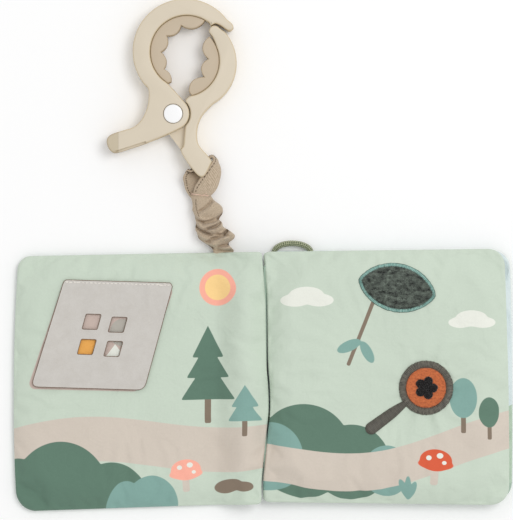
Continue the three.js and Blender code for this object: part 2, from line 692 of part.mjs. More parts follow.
function addLoop(group) {
  const line = new THREE.CatmullRomCurve3(loopStationShares.map(loopPoint), false, 'centripetal');
  const facings = loopStationShares.map((station) => new THREE.Vector3(...station.slice(3, 6)));
  const directions = new THREE.CatmullRomCurve3(facings);
  const widths = loopStationShares.map((s) => s[6]);
  const rings = Array.from({ length: loopSteps + 1 }, (_, i) => {
    const share = i / loopSteps;
    const tangent = line.getTangent(share);
    const across = directions.getPoint(share);
    across.addScaledVector(tangent, -across.dot(tangent)).normalize();
    const normal = new THREE.Vector3().crossVectors(across, tangent).normalize();
    const halfWidth = loopHalfWidth * sampleShares(widths, share);
    return ribbonRing(line.getPoint(share), across, normal, halfWidth, loopThickness / 2);
  });
  group.add(node('strap_loop', ringSolid(rings), colours.strap));

  const middle = new THREE.Vector3(tie.x, tie.y + tieLift, strapRise);
  const boxy = (value) => Math.sign(value) * Math.abs(value) ** tieSquareShare;
  const sections = Array.from({ length: tieSteps }, (_, i) => {
    const angle = (2 * Math.PI * i) / tieSteps;
    const out = new THREE.Vector3(Math.cos(angle), 0, Math.sin(angle));
    const side = new THREE.Vector3(boxy(out.x) * tieHalfWidth, 0, boxy(out.z) * tieHalfHeight);
    const point = middle.clone().add(side);
    return arc({ x: 0, y: 0 }, tieThickness / 2, 0, -2 * Math.PI, tieSides).slice(1)
      .map((p) => point.clone().addScaledVector(out, p.x).add(new THREE.Vector3(0, p.y, 0)));
  });
  group.add(node('tie_thread', ringSolid(sections, true), colours.thread));
}

// Clip, built about the ring's middle

const clipPlan = ([x, y]) => new THREE.Vector2(x * clipRingRadius, y * clipRingRadius);
const pivot = clipPlan(pivotPlaceShares);
const origin2 = new THREE.Vector2();

// The tail's straight side, which runs on to the knuckle
const tailCorner = clipPlan(tailNeckShares[0]);
const tailHeel = clipPlan(tailHeelShares[1]);
const tailEnd = clipPlan(tailNeckShares[1]);
const tailWay = tailCorner.clone().sub(tailHeel).normalize();
const tailAcross = new THREE.Vector2(-tailWay.y, tailWay.x);
const tailAngle = tailWay.angle();

function leverOutline() {
  const bore = clipPlan(leverBoreShares);
  return [
    ...degreesArc(origin2, clipRingRadius, leverBackAngles, clipArcSteps),
    ...leverNeckShares.map(clipPlan),
    ...degreesArc(pivot, hubRadius, leverHubAngles, hubArcSteps),
    ...degreesArc(bore, leverBoreRadius, leverBoreAngles, clipArcSteps),
    ...leverTipShares.map(clipPlan),
  ];
}

function tailOutline() {
  const bore = clipPlan(tailBoreShares);
  const back = clipPlan(tailBackShares);
  return [
    ...tailNeckShares.map(clipPlan),
    ...degreesArc(back, tailBackRadius, tailBackAngles, clipShortArcSteps),
    ...tailTipShares.map(clipPlan),
    ...degreesArc(bore, tailBoreRadius, tailBoreAngles, clipShortArcSteps),
    ...degreesArc(pivot, hubRadius + hubClearance, tailHubAngles, hubArcSteps),
    ...tailHeelShares.map(clipPlan),
  ];
}

function cylinder(middle, radius, low, high) {
  const ring = arc(middle, radius, 0, 2 * Math.PI, pivotSteps).slice(1);
  return solidOf(plate(ring, low, high));
}

// The knuckle's straight side touches its round one at this turn
const knuckleTurn = tailAngle - quarterTurn;

function knuckleWeb(radius, turn, reach) {
  const touch = arc(pivot, radius, knuckleTurn + turn, knuckleTurn + turn, 1)[0];
  const way = tailWay.clone().rotateAround(origin2, turn);
  return [touch, touch.clone().addScaledVector(way, reach)];
}

function tailJaw() {
  const low = earBottomTop + fitGap;
  const high = earTopFloor - fitGap;
  const [touch, foot] = knuckleWeb(knuckleRadius, 0, tailCorner.distanceTo(tailHeel) * knuckleWebReachShare);
  const web = solidOf(plate([touch, foot, foot.clone().addScaledVector(tailAcross, hubRadius),
    ...knuckleWebShares.map(clipPlan), pivot], low, high));
  const springLow = low + springFloor;
  const legEnd = springLegReach + springWire;
  const [windowFrom, windowTo] = springWindowAngles;
  const wedge = [pivot, ...arc(pivot, knuckleRadius + cutOverrun, windowFrom, windowTo, springWindowSteps)];
  const groove = plate([
    new THREE.Vector2(0, -springNotchWidth / 2), new THREE.Vector2(legEnd, -springNotchWidth / 2),
    new THREE.Vector2(legEnd, springNotchWidth / 2), new THREE.Vector2(0, springNotchWidth / 2),
  ], high - springNotchWidth, high + cutOverrun).rotateZ(springLegAngle).translate(pivot.x, pivot.y, 0);
  const across = Math.abs(tailEnd.clone().sub(tailHeel).dot(tailAcross));
  const slotPlace = slotMiddle();
  const slot = new THREE.BoxGeometry(slotWidth, 2 * across + cutOverrun, slotHeight)
    .rotateZ(tailAngle)
    .translate(slotPlace.x, slotPlace.y, clipRestHeight + clipThickness / 2);
  return geometryOf(solidOf(plate(tailOutline(), clipRestHeight, clipTop, clipEdgeRound))
    .add(cylinder(pivot, knuckleRadius, low, high))
    .add(web)
    .subtract(cylinder(pivot, pinRadius + pinClearance, low - cutOverrun, high + cutOverrun))
    .subtract(cylinder(pivot, springPocketRadius, springLow, high + cutOverrun))
    .subtract(solidOf(plate(wedge, springLow, high + cutOverrun)))
    .subtract(solidOf(groove))
    .subtract(solidOf(slot)));
}

// The middle of the slot, from the tail's end, halfway across the tail
function slotMiddle() {
  const across = tailEnd.clone().sub(tailHeel).dot(tailAcross);
  const along = tailEnd.clone().sub(tailHeel).dot(tailWay) - slotEndWall - slotWidth / 2;
  return tailHeel.clone().addScaledVector(tailWay, along).addScaledVector(tailAcross, across / 2);
}

function leverSolid() {
  const far = 2 * clipRingRadius;
  const [touch, foot] = knuckleWeb(knuckleRadius + 2 * fitGap, -jawOpening - jawOpeningSpare, far);
  const corner = new THREE.Vector2(far, 0);
  const pocket = [touch, foot, pivot.clone().add(corner).setY(foot.y), pivot.clone().add(corner), pivot];
  const low = earBottomTop;
  const high = earTopFloor;
  const [grooveStart, grooveEnd] = leverGrooveShares.map(clipPlan);
  const grooveWay = grooveEnd.clone().sub(grooveStart);
  const grooveMiddle = grooveStart.clone().lerp(grooveEnd, 0.5);
  const groove = new THREE.BoxGeometry(grooveWay.length(), 2 * leverGrooveDepth, leverGrooveWidth)
    .rotateZ(grooveWay.angle())
    .translate(grooveMiddle.x, grooveMiddle.y, clipRestHeight + clipThickness / 2);
  const notchReach = springArmReach + springWire;
  const notch = plate([
    new THREE.Vector2(0, -springNotchWidth / 2), new THREE.Vector2(notchReach, -springNotchWidth / 2),
    new THREE.Vector2(notchReach, springNotchWidth / 2), new THREE.Vector2(0, springNotchWidth / 2),
  ], low, high).rotateZ(springArmAngle).translate(pivot.x, pivot.y, 0);
  const capBottom = clipRestHeight + capThickness + fitGap;
  const capTop = clipTop - capThickness - fitGap;
  return solidOf(plate(leverOutline(), clipRestHeight, clipTop, clipEdgeRound))
    .subtract(cylinder(pivot, knuckleRadius + 2 * fitGap, low, high))
    .subtract(solidOf(plate(pocket, low, high)))
    .subtract(cylinder(pivot, pinRadius + pinClearance, clipRestHeight - cutOverrun, clipTop + cutOverrun))
    .subtract(cylinder(pivot, capRadius + capClearance, capTop, clipTop + cutOverrun))
    .subtract(cylinder(pivot, capRadius + capClearance, clipRestHeight - cutOverrun, capBottom))
    .subtract(solidOf(groove))
    .subtract(solidOf(notch));
}

// A soft lining between a jaw's inner arc and a row of lobes
function grip(boreShares, boreRadius, cusps, arcSteps) {
  const bore = clipPlan(boreShares);
  const points = cusps.map(([angle, share]) => (
    degreesArc(bore, boreRadius * share - fitGap, [angle, angle], 1)[0]
  ));
  const sign = Math.sign(cusps[1][0] - cusps[0][0]);
  const lobes = points.slice(0, -1).flatMap((from, i) => {
    const to = points[i + 1];
    const chord = to.clone().sub(from);
    const inward = new THREE.Vector2(-chord.y, chord.x).multiplyScalar(sign * gripLobeShare);
    return Array.from({ length: gripLobeSteps }, (_, step) => {
      const share = step / gripLobeSteps;
      return from.clone().addScaledVector(chord, share).addScaledVector(inward, Math.sin(Math.PI * share));
    });
  });
  const back = degreesArc(bore, boreRadius - fitGap, [cusps[cusps.length - 1][0], cusps[0][0]], arcSteps);
  const outline = [...lobes, ...back];
  if (THREE.ShapeUtils.isClockWise(outline)) outline.reverse();
  return plate(outline, clipRestHeight + gripInset, clipTop - gripInset);
}

function torsionSpring() {
  const base = earBottomTop + fitGap + springFloor + springWire / 2 + fitGap / 2;
  const points = [];
  const count = springTurns * springStepsPerTurn;
  const turn = springLegAngle - springArmAngle + 2 * Math.PI * springTurns;
  points.push(legPoint(springArmAngle, springArmReach, base));
  points.push(legPoint(springArmAngle, springCoilRadius + 2 * springWire, base));
  for (let i = 0; i <= count; i += 1) {
    const share = i / count;
    const height = base + (share * turn * springPitch) / (2 * Math.PI);
    points.push(legPoint(springArmAngle + share * turn, springCoilRadius, height));
  }
  const top = points[points.length - 1].z;
  points.push(legPoint(springLegAngle, springCoilRadius + 2 * springWire, top));
  points.push(legPoint(springLegAngle, springLegReach, top));
  const line = new THREE.CatmullRomCurve3(points, false, 'catmullrom', 0.5);
  const section = arc({ x: 0, y: 0 }, springWire / 2, 0, 2 * Math.PI, springSides).slice(1);
  const way = { steps: count + springLegSteps, extrudePath: line, curveSegments: 1 };
  return new THREE.ExtrudeGeometry(new THREE.Shape(section), way);
}

function legPoint(angle, radius, height) {
  return new THREE.Vector3(pivot.x + radius * Math.cos(angle), pivot.y + radius * Math.sin(angle), height);
}

function addClip(group) {
  const clip = new THREE.Group();
  const run = loopPoint(loopRunShares);
  const slot = slotMiddle();
  clip.position.set(run.x - slot.x, run.y - slot.y, 0);

  const lever = leverSolid();
  const leverGrip = grip(leverBoreShares, leverBoreRadius, leverGripCusps, clipArcSteps);
  const tailGrip = grip(tailBoreShares, tailBoreRadius, tailGripCusps, clipShortArcSteps);
  const padEnd = padEndShare * clipRingRadius;
  const padBox = (edge, shrink) => {
    const size = 2 * clipRingRadius;
    return solidOf(new THREE.BoxGeometry(size, size, clipThickness - 2 * shrink)
      .translate(edge - size / 2, 2 * pivot.y, clipRestHeight + clipThickness / 2));
  };
  clip.add(
    node('lever_jaw', geometryOf(lever.subtract(padBox(padEnd + fitGap, -cutOverrun))), colours.clip, 0.45),
    node('lever_pad', geometryOf(lever.intersect(padBox(padEnd, padSink))), colours.pad, 0.7),
    node('lever_jaw_grip', leverGrip, colours.grip, 0.7),
    node('tail_jaw', tailJaw(), colours.clip, 0.45),
    node('tail_jaw_grip', tailGrip, colours.grip, 0.7),
    node('torsion_spring', torsionSpring(), colours.steel, 0.35, 1),
  );
  const pinLow = clipRestHeight + capThickness + fitGap;
  const pinHigh = clipTop - capThickness - fitGap;
  const pin = geometryOf(cylinder(pivot, pinRadius, pinLow, pinHigh));
  const frontCap = geometryOf(cylinder(pivot, capRadius, pinHigh + fitGap, clipTop));
  const rearCap = geometryOf(cylinder(pivot, capRadius, clipRestHeight, pinLow - fitGap));
  clip.add(
    node('pivot_pin', pin, colours.steel, 0.35, 1),
    node('front_cap', frontCap, colours.cap, 0.3),
    node('rear_cap', rearCap, colours.cap, 0.3),
  );
  group.add(clip);
  return clip.position;
}

// The book

const book = new THREE.Group();
const backMiddle = coverSpineGap + backLeafWidth / 2;

addLeaf(book, backLeaf, {
  upper: 'back_page_panel', lower: 'back_cover_panel', film: 'back_crinkle_film', fill: 'back_wadding',
}, colours.paleCloth, colours.coverCloth);
addLeaf(book, middleLeaf, {
  upper: 'middle_front_panel', lower: 'middle_rear_panel',
  film: 'middle_crinkle_film', fill: 'middle_wadding',
}, colours.mintCloth, colours.paleCloth);
addLeaf(book, frontLeaf, {
  upper: 'front_page_panel', lower: 'front_cover_panel', film: 'front_crinkle_film', fill: 'front_wadding',
}, colours.mintCloth, colours.coverCloth);
book.add(node('spine_binding', spineBinding(), colours.coverCloth));
addPatch(book);
addRingPatch(book);
addCordLoop(book);
addStrap(book);
addLoop(book);
const foldLine = addFlap(book);
const clipPlace = addClip(book);
book.position.x = -backMiddle;

const part = new THREE.Group();
part.add(book);

// The places of the joints, for the record
const jointPlaces = {
  leaves: [0, 0, spineRollHeight],
  flap: foldLine.toArray(),
  strap: [strapSeat.x, strapSeat.y - strapSeatGap, coverSeamHeight],
  clip: [tie.x, tie.y, strapRise],
  jaws: [clipPlace.x + pivot.x, clipPlace.y + pivot.y, clipRestHeight + clipThickness / 2],
};
Object.entries(jointPlaces).forEach(([name, [x, y, z]]) => {
  console.log(name, (x - backMiddle).toFixed(2), y.toFixed(2), z.toFixed(2));
});

export default part;
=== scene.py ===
import math
import random

import bmesh
import bpy
from mathutils import Matrix, Vector, noise
from mathutils.bvhtree import BVHTree
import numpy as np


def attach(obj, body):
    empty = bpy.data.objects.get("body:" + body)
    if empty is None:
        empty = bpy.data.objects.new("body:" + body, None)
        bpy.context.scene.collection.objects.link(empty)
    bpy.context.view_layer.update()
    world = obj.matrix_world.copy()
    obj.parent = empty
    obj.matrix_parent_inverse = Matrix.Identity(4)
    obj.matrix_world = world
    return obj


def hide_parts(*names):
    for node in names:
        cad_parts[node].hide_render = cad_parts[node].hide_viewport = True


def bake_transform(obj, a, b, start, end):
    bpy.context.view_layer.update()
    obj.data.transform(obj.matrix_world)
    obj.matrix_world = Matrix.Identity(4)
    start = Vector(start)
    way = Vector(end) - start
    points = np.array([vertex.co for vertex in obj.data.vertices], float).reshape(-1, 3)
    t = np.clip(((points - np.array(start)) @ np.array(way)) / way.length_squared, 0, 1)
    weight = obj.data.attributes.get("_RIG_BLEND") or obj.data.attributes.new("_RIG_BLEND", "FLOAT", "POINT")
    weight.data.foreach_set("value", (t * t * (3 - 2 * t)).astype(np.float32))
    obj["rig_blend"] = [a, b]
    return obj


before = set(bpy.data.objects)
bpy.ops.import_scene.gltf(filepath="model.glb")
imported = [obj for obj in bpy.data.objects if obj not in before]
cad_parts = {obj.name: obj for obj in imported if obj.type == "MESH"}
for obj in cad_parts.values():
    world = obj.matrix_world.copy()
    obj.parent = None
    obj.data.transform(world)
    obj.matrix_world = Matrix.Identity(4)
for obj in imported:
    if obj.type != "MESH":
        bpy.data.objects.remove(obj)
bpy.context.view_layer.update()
mm = 0.001
spineX = -79.7  # the line on which the leaves turn, in millimetres
pageHeight = 162


# Small helpers

def linear(shade):  # "#rrggbb" as it is seen, to the linear light that the shader wants
    channels = [int(shade[i:i + 2], 16) / 255 for i in (1, 3, 5)]
    return tuple(c / 12.92 if c <= 0.04045 else ((c + 0.055) / 1.055) ** 2.4 for c in channels) + (1.0,)


def smoothStep(low, high, value):
    share = min(1.0, max(0.0, (value - low) / (high - low)))
    return share * share * (3 - 2 * share)


def mix(a, b, share):
    return a + (b - a) * share


def alongTable(table, share):  # a row of values, read smoothly at a share from 0 to 1
    place = min(max(share, 0), 1) * (len(table) - 1)
    low = min(int(place), len(table) - 2)
    part = place - low
    before = table[max(low - 1, 0)]
    after = table[min(low + 2, len(table) - 1)]
    a, b = table[low], table[low + 1]
    return 0.5 * (2 * a + (b - before) * part + (2 * before - 5 * a + 4 * b - after) * part ** 2
                  + (3 * a - 3 * b + after - before) * part ** 3)


def alongRoute(points, share):
    return Vector([alongTable([p[i] for p in points], share) for i in range(len(points[0]))])


def addNode(tree, kind, settings=None, links=None):
    # links: from a socket's name or number to a value or another socket
    node = tree.nodes.new("ShaderNode" + kind)
    for name, value in (settings or {}).items():
        setattr(node, name, value)
    for name, value in (links or {}).items():
        if isinstance(value, bpy.types.NodeSocket):
            tree.links.new(value, node.inputs[name])
        else:
            node.inputs[name].default_value = value
    return node


def newMaterial(name):
    material = bpy.data.materials.new(name)
    material.use_nodes = True
    tree = material.node_tree
    return material, tree, tree.nodes["Principled BSDF"]


def setShader(shader, **values):
    for name, value in values.items():
        shader.inputs[name.replace("_", " ")].default_value = value


def calc(tree, operation, *values):  # a Math node; values are numbers or sockets
    return addNode(tree, "Math", {"operation": operation}, dict(enumerate(values))).outputs[0]


def vectorCalc(tree, operation, *values, out=0):
    return addNode(tree, "VectorMath", {"operation": operation}, dict(enumerate(values))).outputs[out]


def addNoise(tree, place, scale, detail, **others):
    links = {"Vector": place, "Scale": scale, "Detail": detail}
    return addNode(tree, "TexNoise", links=links | others).outputs[0]


def toRange(tree, value, low, high, start=0.0, end=1.0):  # from start..end to low..high
    return addNode(tree, "MapRange", links={
        "Value": value, "From Min": start, "From Max": end, "To Min": low, "To Max": high}).outputs[0]


def blendColours(tree, share, first, second):
    return addNode(tree, "Mix", {"data_type": "RGBA"}, {0: share, 6: first, 7: second}).outputs[2]


def addRamp(tree, value, *stops):  # stops: a place from 0 to 1 and a shade
    ramp = addNode(tree, "ValToRGB", links={0: value})
    elements = ramp.color_ramp.elements
    for element, (place, shade) in zip((elements[0], elements[-1]), (stops[0], stops[-1])):
        element.position = place
        element.color = linear(shade)
    for place, shade in stops[1:-1]:
        elements.new(place).color = linear(shade)
    return ramp.outputs[0]


def tintBase(tree, shader, colour, tone):  # the base colour, lighter and darker by a tone
    scaled = addNode(tree, "VectorMath", {"operation": "SCALE"}, {0: colour, "Scale": tone})
    tree.links.new(scaled.outputs[0], shader.inputs["Base Color"])


def addBump(tree, shader, height, strength, distance, **others):
    links = {"Height": height, "Strength": strength, "Distance": distance}
    bump = addNode(tree, "Bump", links=links | others)
    tree.links.new(bump.outputs[0], shader.inputs["Normal"])
    return bump.outputs[0]


def finishPiece(name, bm, materials, turnOut=True):  # millimetres in the mesh, metres in the scene
    if turnOut:
        bmesh.ops.recalc_face_normals(bm, faces=bm.faces)
    bmesh.ops.scale(bm, verts=bm.verts, vec=(mm, mm, mm))
    mesh = bpy.data.meshes.new(name)
    bm.to_mesh(mesh)
    bm.free()
    for polygon in mesh.polygons:
        polygon.use_smooth = True
    piece = bpy.data.objects.new(name, mesh)
    bpy.context.scene.collection.objects.link(piece)
    for material in materials:
        mesh.materials.append(material)
    return piece


def applyModifiers(piece):
    bpy.context.view_layer.update()
    depsgraph = bpy.context.evaluated_depsgraph_get()
    old = piece.data
    piece.data = bpy.data.meshes.new_from_object(piece.evaluated_get(depsgraph), depsgraph=depsgraph)
    piece.modifiers.clear()
    bpy.data.meshes.remove(old)


def wrapGrid(alongSteps, roundSteps, place, size=(1, 1), joinAlong=False):
    # a grid laid by place(along, around), each 0 to 1; its UV keeps the real run in millimetres
    bm = bmesh.new()
    bmesh.ops.create_grid(bm, x_segments=alongSteps, y_segments=roundSteps, size=1)
    uv = bm.loops.layers.uv.new("UVMap")
    for face in bm.faces:
        for loop in face.loops:
            loop[uv].uv = ((loop.vert.co.x + 1) / 2 * size[0], (loop.vert.co.y + 1) / 2 * size[1])
    for vert in bm.verts:
        vert.co = place((vert.co.x + 1) / 2, (vert.co.y + 1) / 2)
    bmesh.ops.remove_doubles(bm, verts=bm.verts, dist=0.002)
    if not joinAlong:
        bmesh.ops.holes_fill(bm, edges=[e for e in bm.edges if e.is_boundary], sides=0)
    return bm


def aroundPoint(turn):  # a step of length one in a direction, in the plane
    return Vector((math.cos(turn), math.sin(turn)))


def squarish(value, power):  # a sine or cosine with fuller shoulders
    return math.copysign(abs(value) ** power, value)


def noiseAt(x, y, z):
    return noise.noise(Vector((x, y, z)))


def addTo(bm, other):  # takes another bmesh into this one
    mesh = bpy.data.meshes.new("taken")
    other.to_mesh(mesh)
    other.free()
    bm.from_mesh(mesh)
    bpy.data.meshes.remove(mesh)


# Camera, floor and lamps

view = {"middle": (-85.14, 74.88), "width": 328.3, "distance": 2200}


def addCamera():
    camera = bpy.data.objects.new("camera", bpy.data.cameras.new("camera"))
    camera.location = (view["middle"][0] * mm, view["middle"][1] * mm, view["distance"] * mm)
    camera.data.sensor_fit = "HORIZONTAL"
    camera.data.sensor_width = 36
    camera.data.lens = 36 * view["distance"] / view["width"]
    camera.data.clip_end = 20
    bpy.context.scene.collection.objects.link(camera)
    bpy.context.scene.camera = camera


addCamera()
print("camera placed")


# Cord loop: a round braid, both ends sewn into the back leaf's upper seam

cordLoop = {
    "seat": (-62.0, 81.0, 3.4), "diameter": 3.6, "sides": 24, "steps": 150,
    "route": [(-12.6, -3.6), (-12.1, -1.8), (-11.5, 0), (-10.6, 1.4), (-9.2, 2.5), (-7.2, 3.5), (-4.8, 4.15),
              (-2.4, 4.45), (0, 4.55), (2.4, 4.4), (4.8, 4.0), (7.0, 3.3), (9.0, 2.3), (10.4, 1.2),
              (11.3, -0.2), (11.9, -1.9), (12.3, -3.6)],
    "strandPitch": 2.3, "strandLift": 0.3,
    "light": "#B0B494", "dark": "#4A573C", "fleck": "#6F7A59",
}


def braidedCord():  # polyester braid: round strands over and under, soft and slightly glossy
    material, tree, shader = newMaterial("braided polyester")
    flat = addNode(tree, "TexCoord").outputs["UV"]
    place = addNode(tree, "SeparateXYZ", links={0: flat})
    around = calc(tree, "MULTIPLY", place.outputs[1], 4.0)
    along = calc(tree, "DIVIDE", place.outputs[0], cordLoop["strandPitch"])
    ridges = []
    for operation in ("ADD", "SUBTRACT"):
        turn = calc(tree, operation, along, around)
        ridges.append(calc(tree, "SINE", calc(tree, "MULTIPLY", turn, math.tau)))
    cross = calc(tree, "MULTIPLY", *ridges)
    mottle = calc(tree, "MULTIPLY_ADD", addNoise(tree, flat, 2.6, 2.0), 1.4, cross)
    colour = addRamp(tree, mottle, (0.1, cordLoop["dark"]), (0.45, cordLoop["fleck"]),
                     (0.95, cordLoop["light"]))
    tree.links.new(colour, shader.inputs["Base Color"])
    addBump(tree, shader, cross, 0.5, 0.0003)
    setShader(shader, Roughness=0.62, Sheen_Weight=0.15)
    return material


def addCordLoop():
    seat = Vector(cordLoop["seat"])
    points = [seat + Vector((x, y, 0)) for x, y in cordLoop["route"]]
    radius = cordLoop["diameter"] / 2
    length = sum((b - a).length for a, b in zip(points, points[1:]))

    def place(s, t):
        middle = alongRoute(points, s)
        ahead = (alongRoute(points, min(s + 0.01, 1)) - alongRoute(points, max(s - 0.01, 0))).normalized()
        side = Vector((0, 0, 1)).cross(ahead)
        run = s * length / cordLoop["strandPitch"]
        weave = math.sin(math.tau * (run + 4 * t)) * math.sin(math.tau * (run - 4 * t))
        swell = radius - cordLoop["strandLift"] / 2 + cordLoop["strandLift"] * weave
        out, up = aroundPoint(math.tau * t) * swell
        return middle + side * out + Vector((0, 0, up))

    bm = wrapGrid(cordLoop["steps"], cordLoop["sides"], place, size=(length, 1))
    piece = finishPiece("braided_cord_loop", bm, [braidedCord()])
    path = [alongRoute(points, i / 40) * mm for i in range(41)]
    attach(piece, "back_leaf")
    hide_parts("cord_loop")


addCordLoop()
print("cord loop made")


# Printed cloth

ink = {
    "mint": "#CDDACA", "sand": "#D6CBBE", "pine": "#62806F", "teal": "#86ACA3", "bark": "#887969",
    "coral": "#FFB4A0", "yellow": "#FFD996", "brick": "#DE6242", "clay": "#CBB8AE", "amber": "#F0AF5A",
    "stone": "#B9B4AA", "cream": "#EEF0E6", "sky": "#DAE6E6", "sage": "#A9BFAE", "moss": "#B9CDB8",
}
printing = {"softEdge": 0.12, "softJoin": 1.2, "softCorner": 2.4, "threadSeen": 0.9}  # millimetres


def turnedPlace(tree, place, x, y, turn=0, size=(1, 1)):  # a place seen from a shape's own middle
    return addNode(tree, "Mapping", {"vector_type": "TEXTURE"}, {
        0: place, 1: (x, y, 0), 2: (0, 0, math.radians(turn)), 3: (*size, 1)}).outputs[0]


def shapeField(tree, place, part):  # how far a point is outside one printed shape, in millimetres
    kind, values = part[0], part[1:]
    if kind == "oval":  # middle, half sizes, turn
        x, y, halfX, halfY, turn = values
        local = turnedPlace(tree, place, x, y, turn, (halfX, halfY))
        length = vectorCalc(tree, "LENGTH", local, out="Value")
        return calc(tree, "MULTIPLY_ADD", length, min(halfX, halfY), -min(halfX, halfY))
    if kind == "bar":  # middle, half sizes, corner, turn
        x, y, halfX, halfY, corner, turn = values
        near = vectorCalc(tree, "ABSOLUTE", turnedPlace(tree, place, x, y, turn))
        out = vectorCalc(tree, "SUBTRACT", near, (halfX - corner, halfY - corner, 0))
        past = vectorCalc(tree, "MAXIMUM", out, (0, 0, 0))
        return calc(tree, "SUBTRACT", vectorCalc(tree, "LENGTH", past, out="Value"), corner)
    if kind == "fir":  # a triangle on its base: middle of the base, half width, height
        x, y, half, height = values
        axes = addNode(tree, "SeparateXYZ", links={0: turnedPlace(tree, place, x, y)})
        across = calc(tree, "ABSOLUTE", axes.outputs[0])
        slope = calc(tree, "MULTIPLY_ADD", axes.outputs[1], half / height, -half)
        side = calc(tree, "ADD", across, slope)
        foot = calc(tree, "MULTIPLY", axes.outputs[1], -1.0)
        return calc(tree, "SMOOTH_MAX", side, foot, printing["softCorner"])
    if kind == "slant":  # a leaning bar: middle, half sizes, corner, lean per height, turn
        x, y, halfX, halfY, corner, lean, turn = values
        axes = addNode(tree, "SeparateXYZ", links={0: turnedPlace(tree, place, x, y, turn)})
        upright = calc(tree, "MULTIPLY_ADD", axes.outputs[1], -lean, axes.outputs[0])
        made = addNode(tree, "CombineXYZ", links={0: upright, 1: axes.outputs[1]})
        return shapeField(tree, made.outputs[0], ("bar", 0, 0, halfX, halfY, corner, 0))
    # "wave": a band that runs across the page: height, swing, wavelength, phase, half width, climb
    height, swing, wavelength, phase, half, climb = values
    axes = addNode(tree, "SeparateXYZ", links={0: place})
    angle = calc(tree, "MULTIPLY_ADD", axes.outputs[0], math.tau / wavelength, phase)
    line = calc(tree, "MULTIPLY_ADD", calc(tree, "SINE", angle), swing, height)
    rise = calc(tree, "MULTIPLY_ADD", axes.outputs[0], climb, line)
    off = calc(tree, "SUBTRACT", axes.outputs[1], rise)
    if half is None:  # everything below the line
        return off
    return calc(tree, "SUBTRACT", calc(tree, "ABSOLUTE", off), half)


def paintShapes(tree, place, ground, shapes):
    colour = linear(ink[ground])
    for shade, *parts in shapes:
        field = None
        for part in parts:
            one = shapeField(tree, place, part)
            field = one if field is None else calc(tree, "SMOOTH_MIN", field, one, printing["softJoin"])
        inside = toRange(tree, field, 1.0, 0.0, -printing["softEdge"], printing["softEdge"])
        colour = blendColours(tree, inside, colour, linear(ink[shade]))
    return colour if shapes else colour[:3]


def printedCloth(name, ground, shapes):
    # brushed polyester, sublimation printed: matt, soft ink edges, a fine plain weave and a faint nap
    material, tree, shader = newMaterial(name)
    place = addNode(tree, "TexCoord").outputs["UV"]
    colour = paintShapes(tree, place, ground, shapes)
    # the real thread is 0.25 mm apart; drawn wider so that the render shows its grain
    threads = [addNode(tree, "TexWave", {"bands_direction": axis}, {
        "Vector": place, "Scale": 1 / (printing["threadSeen"] * math.pi), "Distortion": 1.2, "Detail": 1.0,
        "Detail Scale": 3.0}).outputs[1] for axis in ("X", "Y")]
    weave = calc(tree, "MULTIPLY", *threads)
    nap = addNoise(tree, place, 0.9, 4.0, Roughness=0.7)
    grain = calc(tree, "MULTIPLY_ADD", weave, 0.25, nap)
    shade = toRange(tree, grain, 0.955, 1.03, 0.25, 0.95)
    cast = toRange(tree, addNoise(tree, place, 0.03, 2.0), 0.975, 1.015, 0.3, 0.7)
    tintBase(tree, shader, colour, calc(tree, "MULTIPLY", shade, cast))
    # the film inside shows through as a faint crumple
    crumple = addNoise(tree, place, 0.055, 3.0, Roughness=0.55, Distortion=0.8)
    fine = addBump(tree, shader, grain, 0.16, 0.0002)
    addBump(tree, shader, crumple, 0.35, 0.004, Normal=fine)
    setShader(shader, Roughness=0.82, Sheen_Weight=0.12, Sheen_Roughness=0.5, Specular_IOR_Level=0.3)
    return material


# Page scenes in millimetres: x from the page's left edge, y from its lower edge
frontScene = [
    ("sand", ("wave", 36, 7, 210, 0.4, 14, 0.05)),
    ("pine", ("oval", 30, 4, 33, 40, 0), ("oval", 62, -6, 28, 36, 0), ("oval", 4, -4, 22, 38, 0)),
    ("teal", ("oval", 88, 2, 17, 19, 0), ("oval", 72, -4, 14, 22, 0)),
    ("clay", ("slant", 56.2, 109.0, 35.6, 33.5, 5, 0.27, -2.9)),
    ("stone", ("oval", 69, 112, 7.5, 8.5, 0)),
    ("amber", ("oval", 47.6, 103, 8.8, 8.8, 0)),
    ("cream", ("fir", 65, 96.2, 6.5, 8.5)),
    ("bark", ("bar", 124, 62, 2.0, 9, 1, 0)),
    ("pine", ("fir", 124, 68, 17, 26), ("fir", 124, 82, 13.5, 23), ("fir", 124, 95, 10, 20)),
    ("bark", ("bar", 146, 50, 1.4, 5.5, 0.8, 0)),
    ("teal", ("fir", 146, 54, 9.5, 16), ("fir", 146, 63, 7.5, 14)),
    ("coral", ("oval", 130, 139, 11.5, 11.5, 0)),
    ("yellow", ("oval", 130, 139, 8, 8, 0)),
    ("sand", ("bar", 110, 16, 2.2, 6, 1.5, 4)),
    ("coral", ("oval", 110, 24, 9.5, 6.5, 4), ("oval", 110, 21.5, 10.5, 3.2, 4)),
    ("cream", ("oval", 106, 25.5, 1.6, 1.4, 0), ("oval", 112.5, 27, 1.9, 1.6, 0),
     ("oval", 115, 22.6, 1.3, 1.1, 0)),
    ("bark", ("oval", 137, 13, 9, 4.5, 6), ("oval", 147, 12, 6, 3.2, -4)),
]
